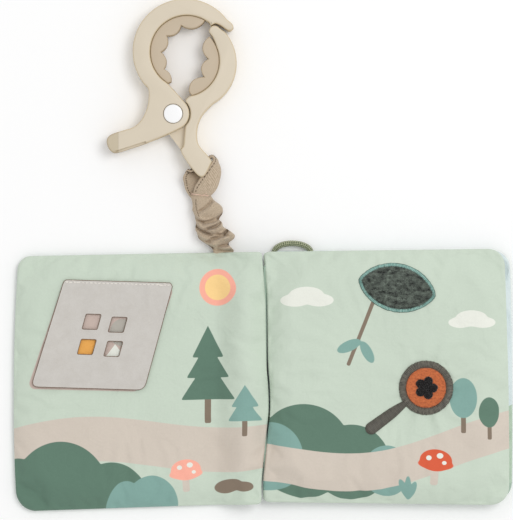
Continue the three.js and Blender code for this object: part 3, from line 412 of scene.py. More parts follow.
middleScene = [
    ("pine", ("oval", 22, 34, 30, 30, 0), ("oval", 52, 27, 24, 24, 0)),
    ("teal", ("oval", 2, 30, 20, 22, 0), ("oval", 74, 22, 15, 16, 0)),
    ("sand", ("wave", 22, 8, 190, 2.6, 12, 0.12)),
    ("cream", ("oval", 24, 133, 11, 5.5, 0), ("oval", 17, 130, 9, 4, 0), ("oval", 32, 130, 9, 4, 0)),
    ("cream", ("oval", 128, 118, 10, 5, 0), ("oval", 121, 115.5, 7.5, 3.4, 0),
     ("oval", 135, 115.5, 8, 3.4, 0)),
    ("bark", ("bar", 58, 109, 1.2, 22, 1.1, -22)),
    ("teal", ("oval", 50.5, 101, 8, 3.4, 24), ("oval", 62, 97, 7.5, 3.2, -62)),
    ("bark", ("bar", 122, 54, 1.5, 8, 0.9, 0)),
    ("teal", ("oval", 122, 68, 8.5, 12.5, 0)),
    ("bark", ("bar", 138, 48, 1.3, 6, 0.8, 0)),
    ("pine", ("oval", 138, 59, 6.5, 9.5, 0)),
    ("sand", ("bar", 104, 20, 2.4, 6.5, 1.6, -5)),
    ("brick", ("oval", 104.8, 29, 10, 6.8, -5), ("oval", 104.6, 26.5, 11, 3.4, -5)),
    ("cream", ("oval", 100.5, 30.5, 1.7, 1.5, 0), ("oval", 107.4, 31.8, 2, 1.7, 0),
     ("oval", 110, 27.4, 1.4, 1.2, 0)),
    ("teal", ("oval", 85, 11, 2.2, 6.5, 24), ("oval", 90, 10, 2.2, 6, -22), ("oval", 87.5, 12, 2, 7, 0)),
]
skyScene = [("moss", ("wave", 48, 9, 170, 1.2, None, 0.06)), ("sage", ("wave", 26, 8, 120, 3.4, None, -0.04))]
coverScene = [
    ("cream", ("oval", 79, 86, 24, 24, 0)),
    ("teal", ("oval", 79, 96, 5.5, 13, 0), ("oval", 69, 84, 5, 12, 48), ("oval", 89, 84, 5, 12, -48)),
    ("bark", ("bar", 79, 78, 1.1, 15, 1, 0)),
]


# Padded leaves: two cloth panels sewn round, turned out and filled

leaves = {
    "front": {
        "side": -1, "gap": 2.75, "width": 157.9, "seam": 3.4, "rise": 10.9, "droop": 0,
        "slack": (-0.004, -0.022, 0.002, -0.031),  # spine top, fore top, spine foot, fore foot
        "corners": {(1, 1): 8.5, (1, -1): 13, (-1, 1): 2.5, (-1, -1): 3}, "seed": 4,
        "fore": [-1.9, -0.6, 0, 0, -0.4, -1.4, -2.7],  # how the free edge bows, foot to top
    },
    "middle": {
        "side": 1, "gap": 2.75, "width": 151.6, "seam": 13.3, "rise": 3.7, "droop": 3.4,
        "slack": (-0.004, 0.008, 0.009, -0.003),
        "corners": {(1, 1): 11, (1, -1): 12, (-1, 1): 3, (-1, -1): 3}, "seed": 21,
        "fore": [1.3, 1.4, 1.2, 0.8, 0, -0.8, -1.6],
    },
    "back": {
        "side": 1, "gap": 1.6, "width": 156.2, "seam": 3.4, "rise": 0, "droop": 0,
        "slack": (0, 0, 0.012, 0.006),
        "corners": {(1, 1): 11, (1, -1): 13, (-1, 1): 4, (-1, -1): 4}, "seed": 35,
        "fore": [0, 0.3, 0.4, 0.2, 0, -0.5, -1.4],
    },
}
padding = {
    "cells": 100, "crowdEdge": 1.3, "seamHalf": 1.1, "seamRound": 1.6,
    "above": 4.8, "aboveWidth": 26, "below": 2.3, "belowWidth": 14,
    "slackCloth": 0.02, "frames": 18, "simSize": 0.01, "seamHeld": 0.9, "mostMove": 2.2,
    "gather": 2.0, "fineGather": 0.9, "dents": 0.9, "table": 0.15,
    # the left page's spine edge, foot to top: how far it reaches over the spine line
    "lip": [-2.0, -2.0, -0.6, 0.9, 2.4, 2.3, 1.2, 0.9, 0.7, 0.4, -0.7, -1.9],
}
roll = {  # how the pages meet over the spine
    "climbWide": 26, "climbStart": 30, "climbEnd": 8, "frontReach": 22, "frontDip": 1.5, "frontDipWide": 11,
    "thinUnder": 0.45, "thinWide": 9, "middleReach": 16, "middleGap": 0.55, "middleMost": -2.6,
    "gutterDeep": 2.9, "gutterWide": 14, "shoulderDeep": 2.0,
}


def lipAt(share):  # how far the left page reaches over the spine line, at a share of the height from its foot
    return alongTable(padding["lip"], share)


def leafPlan(leaf, a, b):  # from a square of -1 to 1 to the leaf's flat shape with its rounded corners
    ring = max(abs(a), abs(b))
    if ring < 1e-6:
        return 0.0, 0.0, 0.0
    corner = leaf["corners"][(1 if a > 0 else -1, 1 if b > 0 else -1)]
    radius = corner * ring ** 4
    halfX, halfY = leaf["width"] / 2 * ring, pageHeight / 2 * ring
    x, y = halfX * a / ring, halfY * b / ring
    innerX, innerY = halfX - radius, halfY - radius
    if abs(x) > innerX and abs(y) > innerY:
        share = (abs(y) - innerY) / (2 * radius) if abs(a) >= ring else 1 - (abs(x) - innerX) / (2 * radius)
        x = math.copysign(innerX + radius * math.cos(share * math.pi / 2), x)
        y = math.copysign(innerY + radius * math.sin(share * math.pi / 2), y)
    return x, y, ring


def bulge(inset, width):
    return math.sin(math.pi / 2 * min(1, max(0, inset) / width))


def flatPillow(leaf):  # both panels in the leaf's own plane; x from the spine, z from the seam
    bm = bmesh.new()
    cells = padding["cells"]
    bmesh.ops.create_grid(bm, x_segments=cells, y_segments=cells, size=1)
    uv = bm.loops.layers.uv.new("UVMap")
    inset = bm.verts.layers.float.new("inset")
    half = min(leaf["width"], pageHeight) / 2
    for vert in bm.verts:
        a, b = (math.copysign(1 - (1 - abs(c)) ** padding["crowdEdge"], c) for c in vert.co.xy)
        x, y, ring = leafPlan(leaf, a, b)
        vert[inset] = (1 - ring) * half
        vert.co = (x + leaf["width"] / 2, y, 0.5)
    under = bmesh.ops.duplicate(bm, geom=bm.verts[:] + bm.edges[:] + bm.faces[:])["geom"]
    underFaces = [g for g in under if isinstance(g, bmesh.types.BMFace)]
    bmesh.ops.reverse_faces(bm, faces=underFaces)
    for face in underFaces:
        face.material_index = 1
    for vert in [g for g in under if isinstance(g, bmesh.types.BMVert)]:
        vert.co.z = -0.5
    for vert in bm.verts:
        edge = vert[inset]
        rolled = padding["seamHalf"] * math.sqrt(max(0, 1 - (1 - min(1, edge / padding["seamRound"])) ** 2))
        if vert.co.z > 0:
            vert.co.z = rolled + padding["above"] * bulge(edge, padding["aboveWidth"])
        else:
            vert.co.z = -rolled - padding["below"] * bulge(edge, padding["belowWidth"])
    bmesh.ops.remove_doubles(bm, verts=[v for v in bm.verts if v[inset] < 0.01], dist=0.01)
    for face in bm.faces:
        for loop in face.loops:
            x, y, _ = loop.vert.co
            across = x if leaf["side"] > 0 else leaf["width"] - x
            loop[uv].uv = (across, y + pageHeight / 2)
    return bm


def settleCloth(bm, leaf):  # a short simulation: slack cloth held at its seam buckles into puckers
    big = padding["simSize"]  # ten times the real size, where the springs are steady
    mesh = bpy.data.meshes.new("slack")
    bm.to_mesh(mesh)
    for vert in mesh.vertices:
        vert.co *= big
    cloth = bpy.data.objects.new("slack", mesh)
    bpy.context.scene.collection.objects.link(cloth)
    held = cloth.vertex_groups.new(name="held")
    insets = [v[bm.verts.layers.float["inset"]] for v in bm.verts]
    for index, inset in enumerate(insets):
        weight = 1.0 if inset < padding["seamHeld"] else mix(0.02, 0.4, smoothStep(10, 55, inset))
        held.add([index], weight, "REPLACE")
    modifier = cloth.modifiers.new("cloth", "CLOTH")
    settings = modifier.settings
    settings.quality = 5
    settings.mass = 0.15
    settings.tension_stiffness = settings.compression_stiffness = 12
    settings.shear_stiffness = 4
    settings.bending_stiffness = 0.25
    settings.vertex_group_mass = "held"
    settings.pin_stiffness = 0.6
    settings.shrink_min = -padding["slackCloth"]
    settings.use_pressure = True
    settings.uniform_pressure_force = 0.4
    settings.effector_weights.gravity = 0
    modifier.collision_settings.use_collision = False
    for step in range(1, padding["frames"] + 1):
        bpy.context.scene.frame_set(step)
    depsgraph = bpy.context.evaluated_depsgraph_get()
    settled = cloth.evaluated_get(depsgraph).to_mesh()
    moved = [v.co / big for v in settled.vertices]
    cloth.evaluated_get(depsgraph).to_mesh_clear()
    bpy.context.scene.frame_set(1)
    bpy.data.objects.remove(cloth)
    bpy.data.meshes.remove(mesh)
    bm.verts.ensure_lookup_table()
    for vert, place in zip(bm.verts, moved):
        step = place - vert.co
        if step.length > padding["mostMove"]:
            step *= padding["mostMove"] / step.length
        vert.co += step


def pucker(leaf, x, y, inset, top):  # gathers that run in from the seam, and broad soft dents
    seed = leaf["seed"] * 7.3 + (0 if top else 50)
    halfX, halfY = leaf["width"] / 2, pageHeight / 2
    alongX = halfY - abs(y) < min(x, leaf["width"] - x)
    run = x if alongX else y
    edge = (1 if y > 0 else 2) if alongX else (3 if x > halfX else 4)
    wave = noiseAt(run * 0.085, edge * 9.1 + seed, 0.3 + inset * 0.012)
    small = noiseAt(run * 0.21, edge * 5.7 + seed, 4.1 + inset * 0.03)
    reach = 9 + 5 * noiseAt(run * 0.05, edge * 3.1, seed)
    near = math.exp(-(max(0, inset - 1.5) / reach) ** 2) * smoothStep(0.2, 3.0, inset)
    dents = noiseAt(x * 0.021, y * 0.026, seed) * smoothStep(6, 30, inset)
    gathers = padding["gather"] * min(0.25, wave) + padding["fineGather"] * small
    return near * gathers + padding["dents"] * dents


def placeLeaf(name, bm):  # from the leaf's own plane to the open book
    leaf = leaves[name]
    topSpine, topFore, footSpine, footFore = leaf["slack"]
    for vert in bm.verts:
        x, y, z = vert.co
        inset = vert[bm.verts.layers.float["inset"]]
        z += pucker(leaf, x, y, inset, z > 0)
        along = x / leaf["width"]
        up = 0.5 + y / pageHeight
        slack = mix(mix(footSpine, footFore, along), mix(topSpine, topFore, along), up) * pageHeight
        bow = alongTable(leaf["fore"], up) * along ** 2
        fromFree = min(leaf["width"] - x, pageHeight / 2 - abs(y))
        hang = max(0, 1 - fromFree / padding["aboveWidth"])
        climb = max(0, 1 - x / roll["climbWide"]) ** 2
        if name == "front":
            climb = smoothStep(roll["climbStart"], roll["climbEnd"], x)
        level = leaf["seam"] + leaf["rise"] * climb - leaf["droop"] * hang ** 2
        reach = 0
        if name == "front":  # the spine edge climbs over the roll and lies on the right page
            near = max(0, 1 - x / roll["frontReach"])
            reach = (leaf["gap"] + lipAt(up)) * near ** 2
            level -= roll["frontDip"] * max(0, 1 - x / roll["frontDipWide"]) ** 2
            if z < 0:
                z *= mix(roll["thinUnder"], 1, smoothStep(0, roll["thinWide"], x))
        if name == "middle":  # it rolls down into the gutter beside the left page
            near = max(0, 1 - x / roll["middleReach"])
            reach = (leaf["gap"] - max(roll["middleMost"], lipAt(up) + roll["middleGap"])) * near ** 2
            level -= roll["gutterDeep"] * (1 - math.sqrt(min(1, x / roll["gutterWide"])))
            level -= roll["shoulderDeep"] * near ** 2
        across = leaf["gap"] + x - reach + bow
        vert.co = (spineX + leaf["side"] * across, y + slack, max(padding["table"], level + z))


wrinkles = {
    "middle": (spineX + 102.15, -6.2), "reach": 60, "folds": 3.0, "fine": 1.3, "start": 15, "full": 20,
    "fadeFrom": 19, "fade": 13, "dip": 0.25, "dipWide": 26,
}


def ringWrinkles(bm):  # the ring patch draws the page in: folds run out from it
    middle = Vector(wrinkles["middle"])
    for vert in bm.verts:
        if vert.normal.z < 0:
            continue
        away = vert.co.xy - middle
        far = away.length
        if far < wrinkles["reach"]:
            way = aroundPoint(math.atan2(away.y, away.x))
            folds = wrinkles["folds"] * noiseAt(way.x * 2.6, way.y * 2.6, 7.7)
            fine = wrinkles["fine"] * noiseAt(way.x * 6, way.y * 6, 1.7)
            fade = math.exp(-max(0, far - wrinkles["fadeFrom"]) / wrinkles["fade"])
            vert.co.z += (folds + fine) * smoothStep(wrinkles["start"], wrinkles["full"], far) * fade
            vert.co.z -= wrinkles["dip"] * math.exp(-(far / wrinkles["dipWide"]) ** 2)


def addLeaf(name, materials, slot, *nodes):
    leaf = leaves[name]
    bm = flatPillow(leaf)
    settleCloth(bm, leaf)
    placeLeaf(name, bm)
    bm.normal_update()
    if name == "middle":
        ringWrinkles(bm)
    bm.verts.layers.float.remove(bm.verts.layers.float["inset"])
    piece = finishPiece(name + "_padded_leaf", bm, materials)
    smooth = piece.modifiers.new("finer", "SUBSURF")
    smooth.levels = smooth.render_levels = 1
    applyModifiers(piece)
    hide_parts(*nodes)
    return piece


mintFront = printedCloth("brushed polyester, left page", "mint", frontScene)
mintMiddle = printedCloth("brushed polyester, right page", "mint", middleScene)
skyCloth = printedCloth("brushed polyester, sky page", "sky", skyScene)
coverCloth = printedCloth("brushed polyester, cover", "sage", coverScene)

backLeaf = addLeaf("back", [skyCloth, coverCloth], "pale_cloth",
                   "back_page_panel", "back_cover_panel", "back_crinkle_film", "back_wadding")
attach(backLeaf, "back_leaf")
print("back leaf made")

middleLeaf = addLeaf("middle", [mintMiddle, skyCloth], "mint_cloth",
                     "middle_front_panel", "middle_rear_panel", "middle_crinkle_film", "middle_wadding")
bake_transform(middleLeaf, "back_leaf", "middle_leaf",
         start=((spineX + 0.2) * mm, 0, 0.017), end=((spineX + 5) * mm, 0, 0.017))
print("middle leaf made")

frontLeaf = addLeaf("front", [mintFront, coverCloth], "mint_cloth",
                    "front_page_panel", "front_cover_panel", "front_crinkle_film", "front_wadding")
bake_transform(frontLeaf, "back_leaf", "front_leaf",
         start=((spineX + 1.0) * mm, 0, 0.017), end=((spineX - 5) * mm, 0, 0.017))
print("front leaf made")


# Surfaces to lay things on

def surfaceOf(piece):
    tree = BVHTree.FromObject(piece, bpy.context.evaluated_depsgraph_get())

    def heightAt(x, y, soften=0):  # the height under a point; soften takes the mean over a round area
        spots = [Vector((x, y))]
        if soften:
            spots += [spots[0] + aroundPoint(k * math.tau / 8) * soften for k in range(8)]
        found = [tree.ray_cast(Vector((*spot * mm, 0.2)), Vector((0, 0, -1)))[0] for spot in spots]
        heights = [spot.z / mm for spot in found if spot is not None]
        return sum(heights) / len(heights) if heights else 9.0

    return heightAt


leftPageAt = surfaceOf(frontLeaf)
rightPageAt = surfaceOf(middleLeaf)


# Spine binding: a folded strip of cover cloth between the leaves

binding = {"x": spineX, "half": 1.15, "low": 2.6, "high": 12.2, "reach": 71}


def addBinding():
    high = binding["high"] - binding["low"]

    def place(s, t):
        turn = math.tau * t
        x = binding["half"] * squarish(math.cos(turn), 0.5)
        z = binding["low"] + high / 2 + high / 2 * squarish(math.sin(turn), 0.25)
        y = mix(-binding["reach"], binding["reach"], s)
        return Vector((binding["x"] + x * (1 + 0.15 * noiseAt(0, y * 0.1, z * 0.2)), y, z))

    bm = wrapGrid(70, 32, place, size=(2 * binding["reach"], 30))
    piece = finishPiece("spine_strip", bm, [printedCloth("brushed polyester, plain binding", "sage", [])])
    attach(piece, "back_leaf")
    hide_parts("spine_binding")


addBinding()
print("spine strip made")


# Threads and stitches

def satinThread(name, shade, dark, pitch, lined=0):
    # rayon embroidery thread: glossy, laid side by side; its colour is painted light: painted shade in the
    # grooves between threads and a painted streak of sheen along each row
    material, tree, shader = newMaterial(name)
    flat = addNode(tree, "TexCoord").outputs["UV"]
    place = addNode(tree, "SeparateXYZ", links={0: flat})
    ridge = calc(tree, "SINE", calc(tree, "MULTIPLY", place.outputs[0], math.tau / pitch))
    streak = addNode(tree, "Mapping", links={0: flat, 3: (1.1, 0.25, 1)})
    tone = calc(tree, "MULTIPLY_ADD", ridge, 0.16, addNoise(tree, streak.outputs[0], 1.3, 2.0))
    # painted light: the dark end is painted shade between the threads, the light end carries painted streaks of
    # sheen
    colour = addRamp(tree, tone, (0.25, dark), (0.7, shade))
    if lined:  # darker along both sides of a border as wide as this: partly a dark edge thread, partly painted shade where the satin meets the cloth
        far = calc(tree, "ABSOLUTE", calc(tree, "SUBTRACT", place.outputs[1], lined / 2))
        rim = toRange(tree, far, 0.0, 1.0, lined / 2 - 0.7, lined / 2 - 0.5)
        colour = blendColours(tree, rim, colour, linear(pilePatch["satinEdgeThreadAndShade"]))
    tree.links.new(colour, shader.inputs["Base Color"])
    addBump(tree, shader, ridge, 0.6, 0.0002)
    setShader(shader, Roughness=0.45, Anisotropic=0.4, Sheen_Weight=0.1)
    return material


def sewingThread(name, shade):  # spun polyester sewing thread: matt, twisted, a little fuzzy
    material, tree, shader = newMaterial(name)
    place = addNode(tree, "TexCoord").outputs["Object"]
    twist = addNode(tree, "TexWave", {"bands_direction": "DIAGONAL"}, {
        "Vector": place, "Scale": 900.0, "Distortion": 1.0})
    tone = toRange(tree, addNoise(tree, place, 1400.0, 2.0), 0.86, 1.04, 0.3, 0.7)
    tintBase(tree, shader, linear(shade)[:3], tone)
    addBump(tree, shader, twist.outputs[1], 0.5, 0.0001)
    setShader(shader, Roughness=0.75, Sheen_Weight=0.2)
    return material


def addStitch(bm, start, end, thick):  # one stitch: a short plump thread that dips in at both ends
    ahead = end - start
    turn = ahead.to_track_quat("X", "Z").to_matrix().to_4x4()
    made = bmesh.ops.create_icosphere(bm, subdivisions=2, radius=1)["verts"]
    size = Matrix.Diagonal((ahead.length / 2, thick, thick * 0.8, 1))
    bmesh.ops.transform(bm, matrix=Matrix.Translation((start + end) / 2) @ turn @ size, verts=made)


# Window flap: one sheet of suede cloth, sewn along its upper edge and free to fold there

flap = {
    "corner": (-138.55, 57.83), "width": 70, "lowerWidth": 72.5, "height": 66.5, "slant": 18.5, "tilt": -1.7,
    "thickness": 1.0, "rounding": 5, "window": 9.4, "lean": 0.25, "edge": 0.9, "cutEdgeAndShadeStrip": 0.4,
    "windowRound": 0.8, "cutRows": 2.1, "cutColumns": 2.65, "hem": 2.6, "lies": 0.28, "curl": 0.45,
    "windows": [(0.363, 0.358), (0.603, 0.379), (0.386, 0.6), (0.625, 0.611)],
    "stitch": 2.6, "stitchRow": 0.9, "stitchGap": 0.62, "stitchThick": 0.3,
}


def tilted(middle, x, y, degrees):  # from a piece's own plane to the page
    return Vector(middle) + Matrix.Rotation(math.radians(degrees), 2) @ Vector((x, y))


def onFlap(x, y):  # x from the flap's upper right corner, y from the stitches
    return tilted(flap["corner"], x, y, flap["tilt"])


def roundCorners(corners, radius, steps=5):
    points = []
    for i, corner in enumerate(corners):
        before = corner + (corners[i - 1] - corner).normalized() * radius
        after = corner + (corners[(i + 1) % len(corners)] - corner).normalized() * radius
        for step in range(steps + 1):
            t = step / steps
            points.append(before * (1 - t) ** 2 + corner * 2 * t * (1 - t) + after * t ** 2)
    return points


def addRing(bm, points, height=0.0):  # a closed row of edges through a few points
    verts = [bm.verts.new((p[0], p[1], height)) for p in points]
    return [bm.edges.new((a, verts[(i + 1) % len(verts)])) for i, a in enumerate(verts)]


def suedeCloth(name, shade, dark, nap=1.0):
    # microfibre suede: matt with a soft sheen, tiny cloudy nap; a darker brown copy colours the cut edges, partly
    # their own colour and partly painted shade
    material, tree, shader = newMaterial(name)
    place = addNode(tree, "TexCoord").outputs["Object"]
    cloud = addNoise(tree, place, 140.0, 5.0, Roughness=0.7)
    both = calc(tree, "MULTIPLY_ADD", addNoise(tree, place, 1500.0, 3.0), 0.6, cloud)
    tree.links.new(addRamp(tree, both, (0.5, dark), (0.95, shade)), shader.inputs["Base Color"])
    addBump(tree, shader, both, 0.3 * nap, 0.0003)
    setShader(shader, Roughness=0.9, Sheen_Weight=0.25, Sheen_Roughness=0.4, Specular_IOR_Level=0.25)
    return material


def addFlap():
    width, height, slant = flap["width"], flap["height"], flap["slant"]

    def corner(along, down):
        return Vector((along * mix(width, flap["lowerWidth"], down) - width - down * slant, -down * height))

    rounded = roundCorners([corner(0, 0), corner(0, 1), corner(1, 1), corner(1, 0)], flap["rounding"])
    lower = rounded[6:18]
    hem = [Vector(p) for p in ((0, 0), (-0.6, 1.6), (-1.6, flap["hem"]), (-width + 2.2, flap["hem"]),
                               (-width + 0.9, 1.8), (-width, 0))]
    bm = bmesh.new()
    edges = addRing(bm, lower + hem)
    half = flap["window"] / 2
    lean = half * flap["lean"]
    for along, down in flap["windows"]:
        middle = corner(along, down)
        opening = [middle + Vector((side * half + end * lean, end * half))
                   for side, end in ((-1, -1), (1, -1), (1, 1), (-1, 1))]
        edges += addRing(bm, roundCorners(opening, flap["windowRound"], 2))
    bmesh.ops.triangle_fill(bm, edges=edges, use_beauty=True)
    # a thin strip round every cut edge of the top takes the dark brown: the cut edge's own colour drawn wide
    # enough to show, together with painted shade along the edge
    cutEdgeAndShadeStrip = bmesh.ops.inset_region(bm, faces=bm.faces[:], thickness=flap["cutEdgeAndShadeStrip"], use_boundary=True,
                                    use_even_offset=True)["faces"]
    for face in cutEdgeAndShadeStrip:
        face.material_index = 1
    for step in range(1, 34):  # cuts that let the sheet bend
        for point, normal in (((0, -height + step * flap["cutRows"] + 0.3, 0), (0, 1, 0)),
                              ((-width - slant + step * flap["cutColumns"], 0, 0), (1, 0, 0))):
            bmesh.ops.bisect_plane(bm, geom=bm.verts[:] + bm.edges[:] + bm.faces[:], dist=0.01,
                                   plane_co=point, plane_no=normal)
    bmesh.ops.dissolve_degenerate(bm, edges=bm.edges, dist=0.005)
    bmesh.ops.recalc_face_normals(bm, faces=bm.faces)
    for face in bm.faces:
        if face.normal.z < 0:
            face.normal_flip()
    made = bmesh.ops.extrude_face_region(bm, geom=bm.faces[:])["geom"]
    raised = [g for g in made if isinstance(g, bmesh.types.BMVert)]
    bmesh.ops.translate(bm, verts=raised, vec=(0, 0, flap["thickness"]))
    for face in bm.faces:
        if abs(face.normal.z) < 0.5:
            face.material_index = 1
    bm.normal_update()
    rimTop = [e for e in bm.edges if len(e.link_faces) == 2
              and min(v.co.z for v in e.verts) > flap["thickness"] / 2
              and len({abs(f.normal.z) < 0.5 for f in e.link_faces}) == 2]
    bmesh.ops.bevel(bm, geom=rimTop, offset=flap["edge"], offset_type="OFFSET", segments=2, profile=0.5,
                    affect="EDGES", material=1, clamp_overlap=True)
    for vert in bm.verts:
        x, y, z = vert.co
        place = onFlap(x, y)
        page = max(leftPageAt(place.x, place.y, 5), leftPageAt(place.x, place.y) - 0.05)
        lift = flap["curl"] * smoothStep(30, 66, -y) * (0.5 + noiseAt(x * 0.05, 3, 1))
        vert.co = (place.x, place.y, max(page, 9.2) + flap["lies"] + lift + z)
    return finishPiece("suede_window_flap", bm, [
        suedeCloth("microfibre suede", "#D0CCC6", "#C6C1BA"),
        suedeCloth("microfibre suede, cut edge and painted shade", "#7F6A59", "#5F4D40")])


flapPiece = addFlap()
flapAt = surfaceOf(flapPiece)


def addFlapStitches():
    bm = bmesh.new()
    pitch, row = flap["stitch"], flap["stitchRow"]

    def sew(start, end, above):
        spots = [onFlap(*start), onFlap(*end)]
        addStitch(bm, *[Vector((*spot, flapAt(*spot) + above)) for spot in spots], flap["stitchThick"])

    for i in range(int((flap["width"] - 3) / pitch)):
        start = -flap["width"] + 1.6 + i * pitch
        wander = 0.16 * math.sin(i * 2.1)
        sew((start, row + wander), (start + pitch - flap["stitchGap"], row - wander), 0.06)
    for base in (-flap["width"] + 1.2, -10.6):  # the back-tacks at both ends
        for i, shift in enumerate((0.55, -0.5, 1.2, 0.1)):
            start = base + i * 2.3
            sew((start, row + shift), (start + 2.5, row + shift * 0.3), 0.16)
    piece = finishPiece("flap_stitches", bm, [sewingThread("sewing thread, off-white", "#F2EDE4")])
    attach(piece, "front_leaf")
    return piece


flapStitches = addFlapStitches()
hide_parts("window_flap", "flap_hem")
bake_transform(flapPiece, "front_leaf", "flap",
         start=tuple(onFlap(-35, 0.0) * mm) + (0.011,), end=tuple(onFlap(-35, -3.0) * mm) + (0.011,))
print("window flap made")


# Pile patch: a plain leaf shape in short pile, with a satin-stitched border

pilePatch = {
    "middle": (4.05, 57.3), "length": 50, "width": 31, "tilt": -12, "point": 0.72, "border": 2.6,
    "borderHigh": 0.75, "threadPitch": 0.85, "tufts": 4600, "tuftLong": 1.7, "tuftThick": 0.17, "seed": 11,
    # the satin's rim colour is partly a dark edge thread and partly painted shade
    "ground": 0.55, "crown": 0.4, "satin": "#9CC1B7", "satinShadeBetweenThreads": "#5F9187", "satinEdgeThreadAndShade": "#3E5A50",
    # the dark pile colour is painted shade between the tufts
    "pile": "#808B80", "pileShadeBetweenTufts": "#141815",
}


def patchEdge(turn, grow):  # a point of the leaf shape, brought in by grow millimetres
    across = math.sin(turn) * abs(math.sin(turn)) ** (1 / pilePatch["point"] - 1)
    return tilted(pilePatch["middle"], (pilePatch["length"] / 2 - grow) * math.cos(turn),
                  (pilePatch["width"] / 2 - grow) * across, pilePatch["tilt"])


def satinHigh(over, high, under=0.3):  # a satin row rises over its padding and dips a little underneath
    return high * math.sin(over) if over < math.pi else -under * abs(math.sin(over))


def addFibre(bm, middle, way, sides, foot, tip, length):  # a thin cone that points along way
    place = Matrix.Translation(middle) @ way.to_track_quat("Z", "Y").to_matrix().to_4x4()
    bmesh.ops.create_cone(bm, cap_ends=True, segments=sides, radius1=foot, radius2=tip, depth=length,
                          matrix=place)


def pileFur():  # knitted pile: short dull fibres brushed sideways, with painted shade between the tufts
    material, tree, shader = newMaterial("short knitted pile")
    place = addNode(tree, "TexCoord").outputs["Object"]
    fibre, drift = [
        addNoise(tree, addNode(tree, "Mapping", links={0: place, 3: size}).outputs[0], 1.0, detail)
        for size, detail in (((700, 1500, 1500), 3.0), ((260, 420, 420), 2.0))]
    both = calc(tree, "MULTIPLY_ADD", fibre, 0.5, drift)
    # the dark end of this ramp is painted shade, laid in patches by the fibre noise
    colour = addRamp(tree, both, (0.5, pilePatch["pileShadeBetweenTufts"]), (0.92, pilePatch["pile"]))
    tree.links.new(colour, shader.inputs["Base Color"])
    setShader(shader, Roughness=0.85, Sheen_Weight=0.25, Sheen_Roughness=0.4, Specular_IOR_Level=0.2)
    return material


def addPilePatch():
    middle = Vector(pilePatch["middle"])
    around = [patchEdge(math.tau * i / 160, 0) for i in range(161)]
    length = sum((b - a).length for a, b in zip(around, around[1:]))
    threads = round(length / pilePatch["threadPitch"])
    random.seed(pilePatch["seed"])
    uneven = [random.uniform(-0.14, 0.14) for _ in range(threads + 1)]

    def border(s, t):
        over = math.tau * t
        ragged = uneven[int(s * threads) % threads] * (1 if over < 1 else 0.4)
        spot = patchEdge(math.tau * s, pilePatch["border"] / 2 * (1 - math.cos(over)) + ragged)
        ridge = 1 + 0.13 * math.cos(math.tau * s * threads)
        high = satinHigh(over, pilePatch["borderHigh"] * ridge, 0.35)
        return Vector((*spot, rightPageAt(*spot, 3) + 0.12 + high))

    bm = wrapGrid(threads * 4, 12, border, size=(length, 2 * pilePatch["border"]), joinAlong=True)
    rim = finishPiece("satin_border", bm, [satinThread(
        "rayon satin stitch, teal", pilePatch["satin"], pilePatch["satinShadeBetweenThreads"], pilePatch["threadPitch"],
        lined=pilePatch["border"])])
    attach(rim, "middle_leaf")
    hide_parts("pile_patch_border")

    inner = pilePatch["border"] * 0.7

    def ground(s, t):  # out over the upper face, and back under it
        edge = patchEdge(math.tau * t, inner)
        if s <= 0.5:
            spot = middle.lerp(edge, max(0.001, s * 2))
            high = pilePatch["ground"] * math.sqrt(max(0, 1 - (s * 2) ** 4))
        else:
            spot = edge.lerp(middle, (s - 0.5) * 1.998)
            high = -0.1
        return Vector((*spot, rightPageAt(*spot, 3) + 0.3 + high))

    bm = wrapGrid(24, 72, ground, size=(60, 60))
    random.seed(pilePatch["seed"])
    strands = bmesh.new()
    for _ in range(pilePatch["tufts"]):
        turn, far = random.uniform(0, math.tau), math.sqrt(random.random())
        foot = middle.lerp(patchEdge(turn, inner + 0.5), far)
        lean = random.gauss(0, 0.7) + (math.pi if random.random() < 0.2 else 0)
        rise = random.uniform(0.12, 0.5)
        way = Vector((math.cos(lean) * math.cos(rise), math.sin(lean) * math.cos(rise), math.sin(rise)))
        length = pilePatch["tuftLong"] * random.uniform(0.6, 1.1)
        crown = pilePatch["crown"] * math.sqrt(max(0, 1 - far ** 4))
        base = Vector((*foot, rightPageAt(*foot) + pilePatch["ground"] + crown))
        addFibre(strands, base + way * length * 0.35, way, 4, pilePatch["tuftThick"],
                 pilePatch["tuftThick"] * 0.35, length)
    bmesh.ops.recalc_face_normals(bm, faces=bm.faces)
    addTo(bm, strands)
    pile = finishPiece("short_pile", bm, [pileFur()], turnOut=False)
    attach(pile, "middle_leaf")
    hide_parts("pile_patch")


addPilePatch()
print("pile patch made")


# Ring patch: a padded satin ring with a handle, round a coarse woven disc with a felt flower

ringPatch = {
    "middle": (22.45, -6.21), "outer": 17.3, "inner": 12.7, "high": 1.9, "threadPitch": 0.85,
    "handleTurn": 216.5, "handleStart": 15.8, "handleLong": 31.3, "handleHigh": 1.6,
    "handleWidths": [3.9, 5.4, 6.7, 7.2, 7.5, 7.8, 8.0],  # from the ring to the round end
    # the dark satin and handle colours are painted shade between the threads
    "satin": "#767165", "satinShadeBetweenThreads": "#2E2B23", "handle": "#5F5B50", "handleShadeBetweenThreads": "#3D3A33",
    "weave": "#E07C46", "weaveDark": "#A9502C", "row": 0.85, "felt": "#1D1A1B",
    "discHigh": 0.75, "petals": 5, "flower": 7.4, "waist": 0.66, "feltHigh": 0.8, "feltFoot": 0.7,
    "fibres": 900, "fibreFoot": 0.12, "fibreTip": 0.03, "fibreLong": 0.8,
}


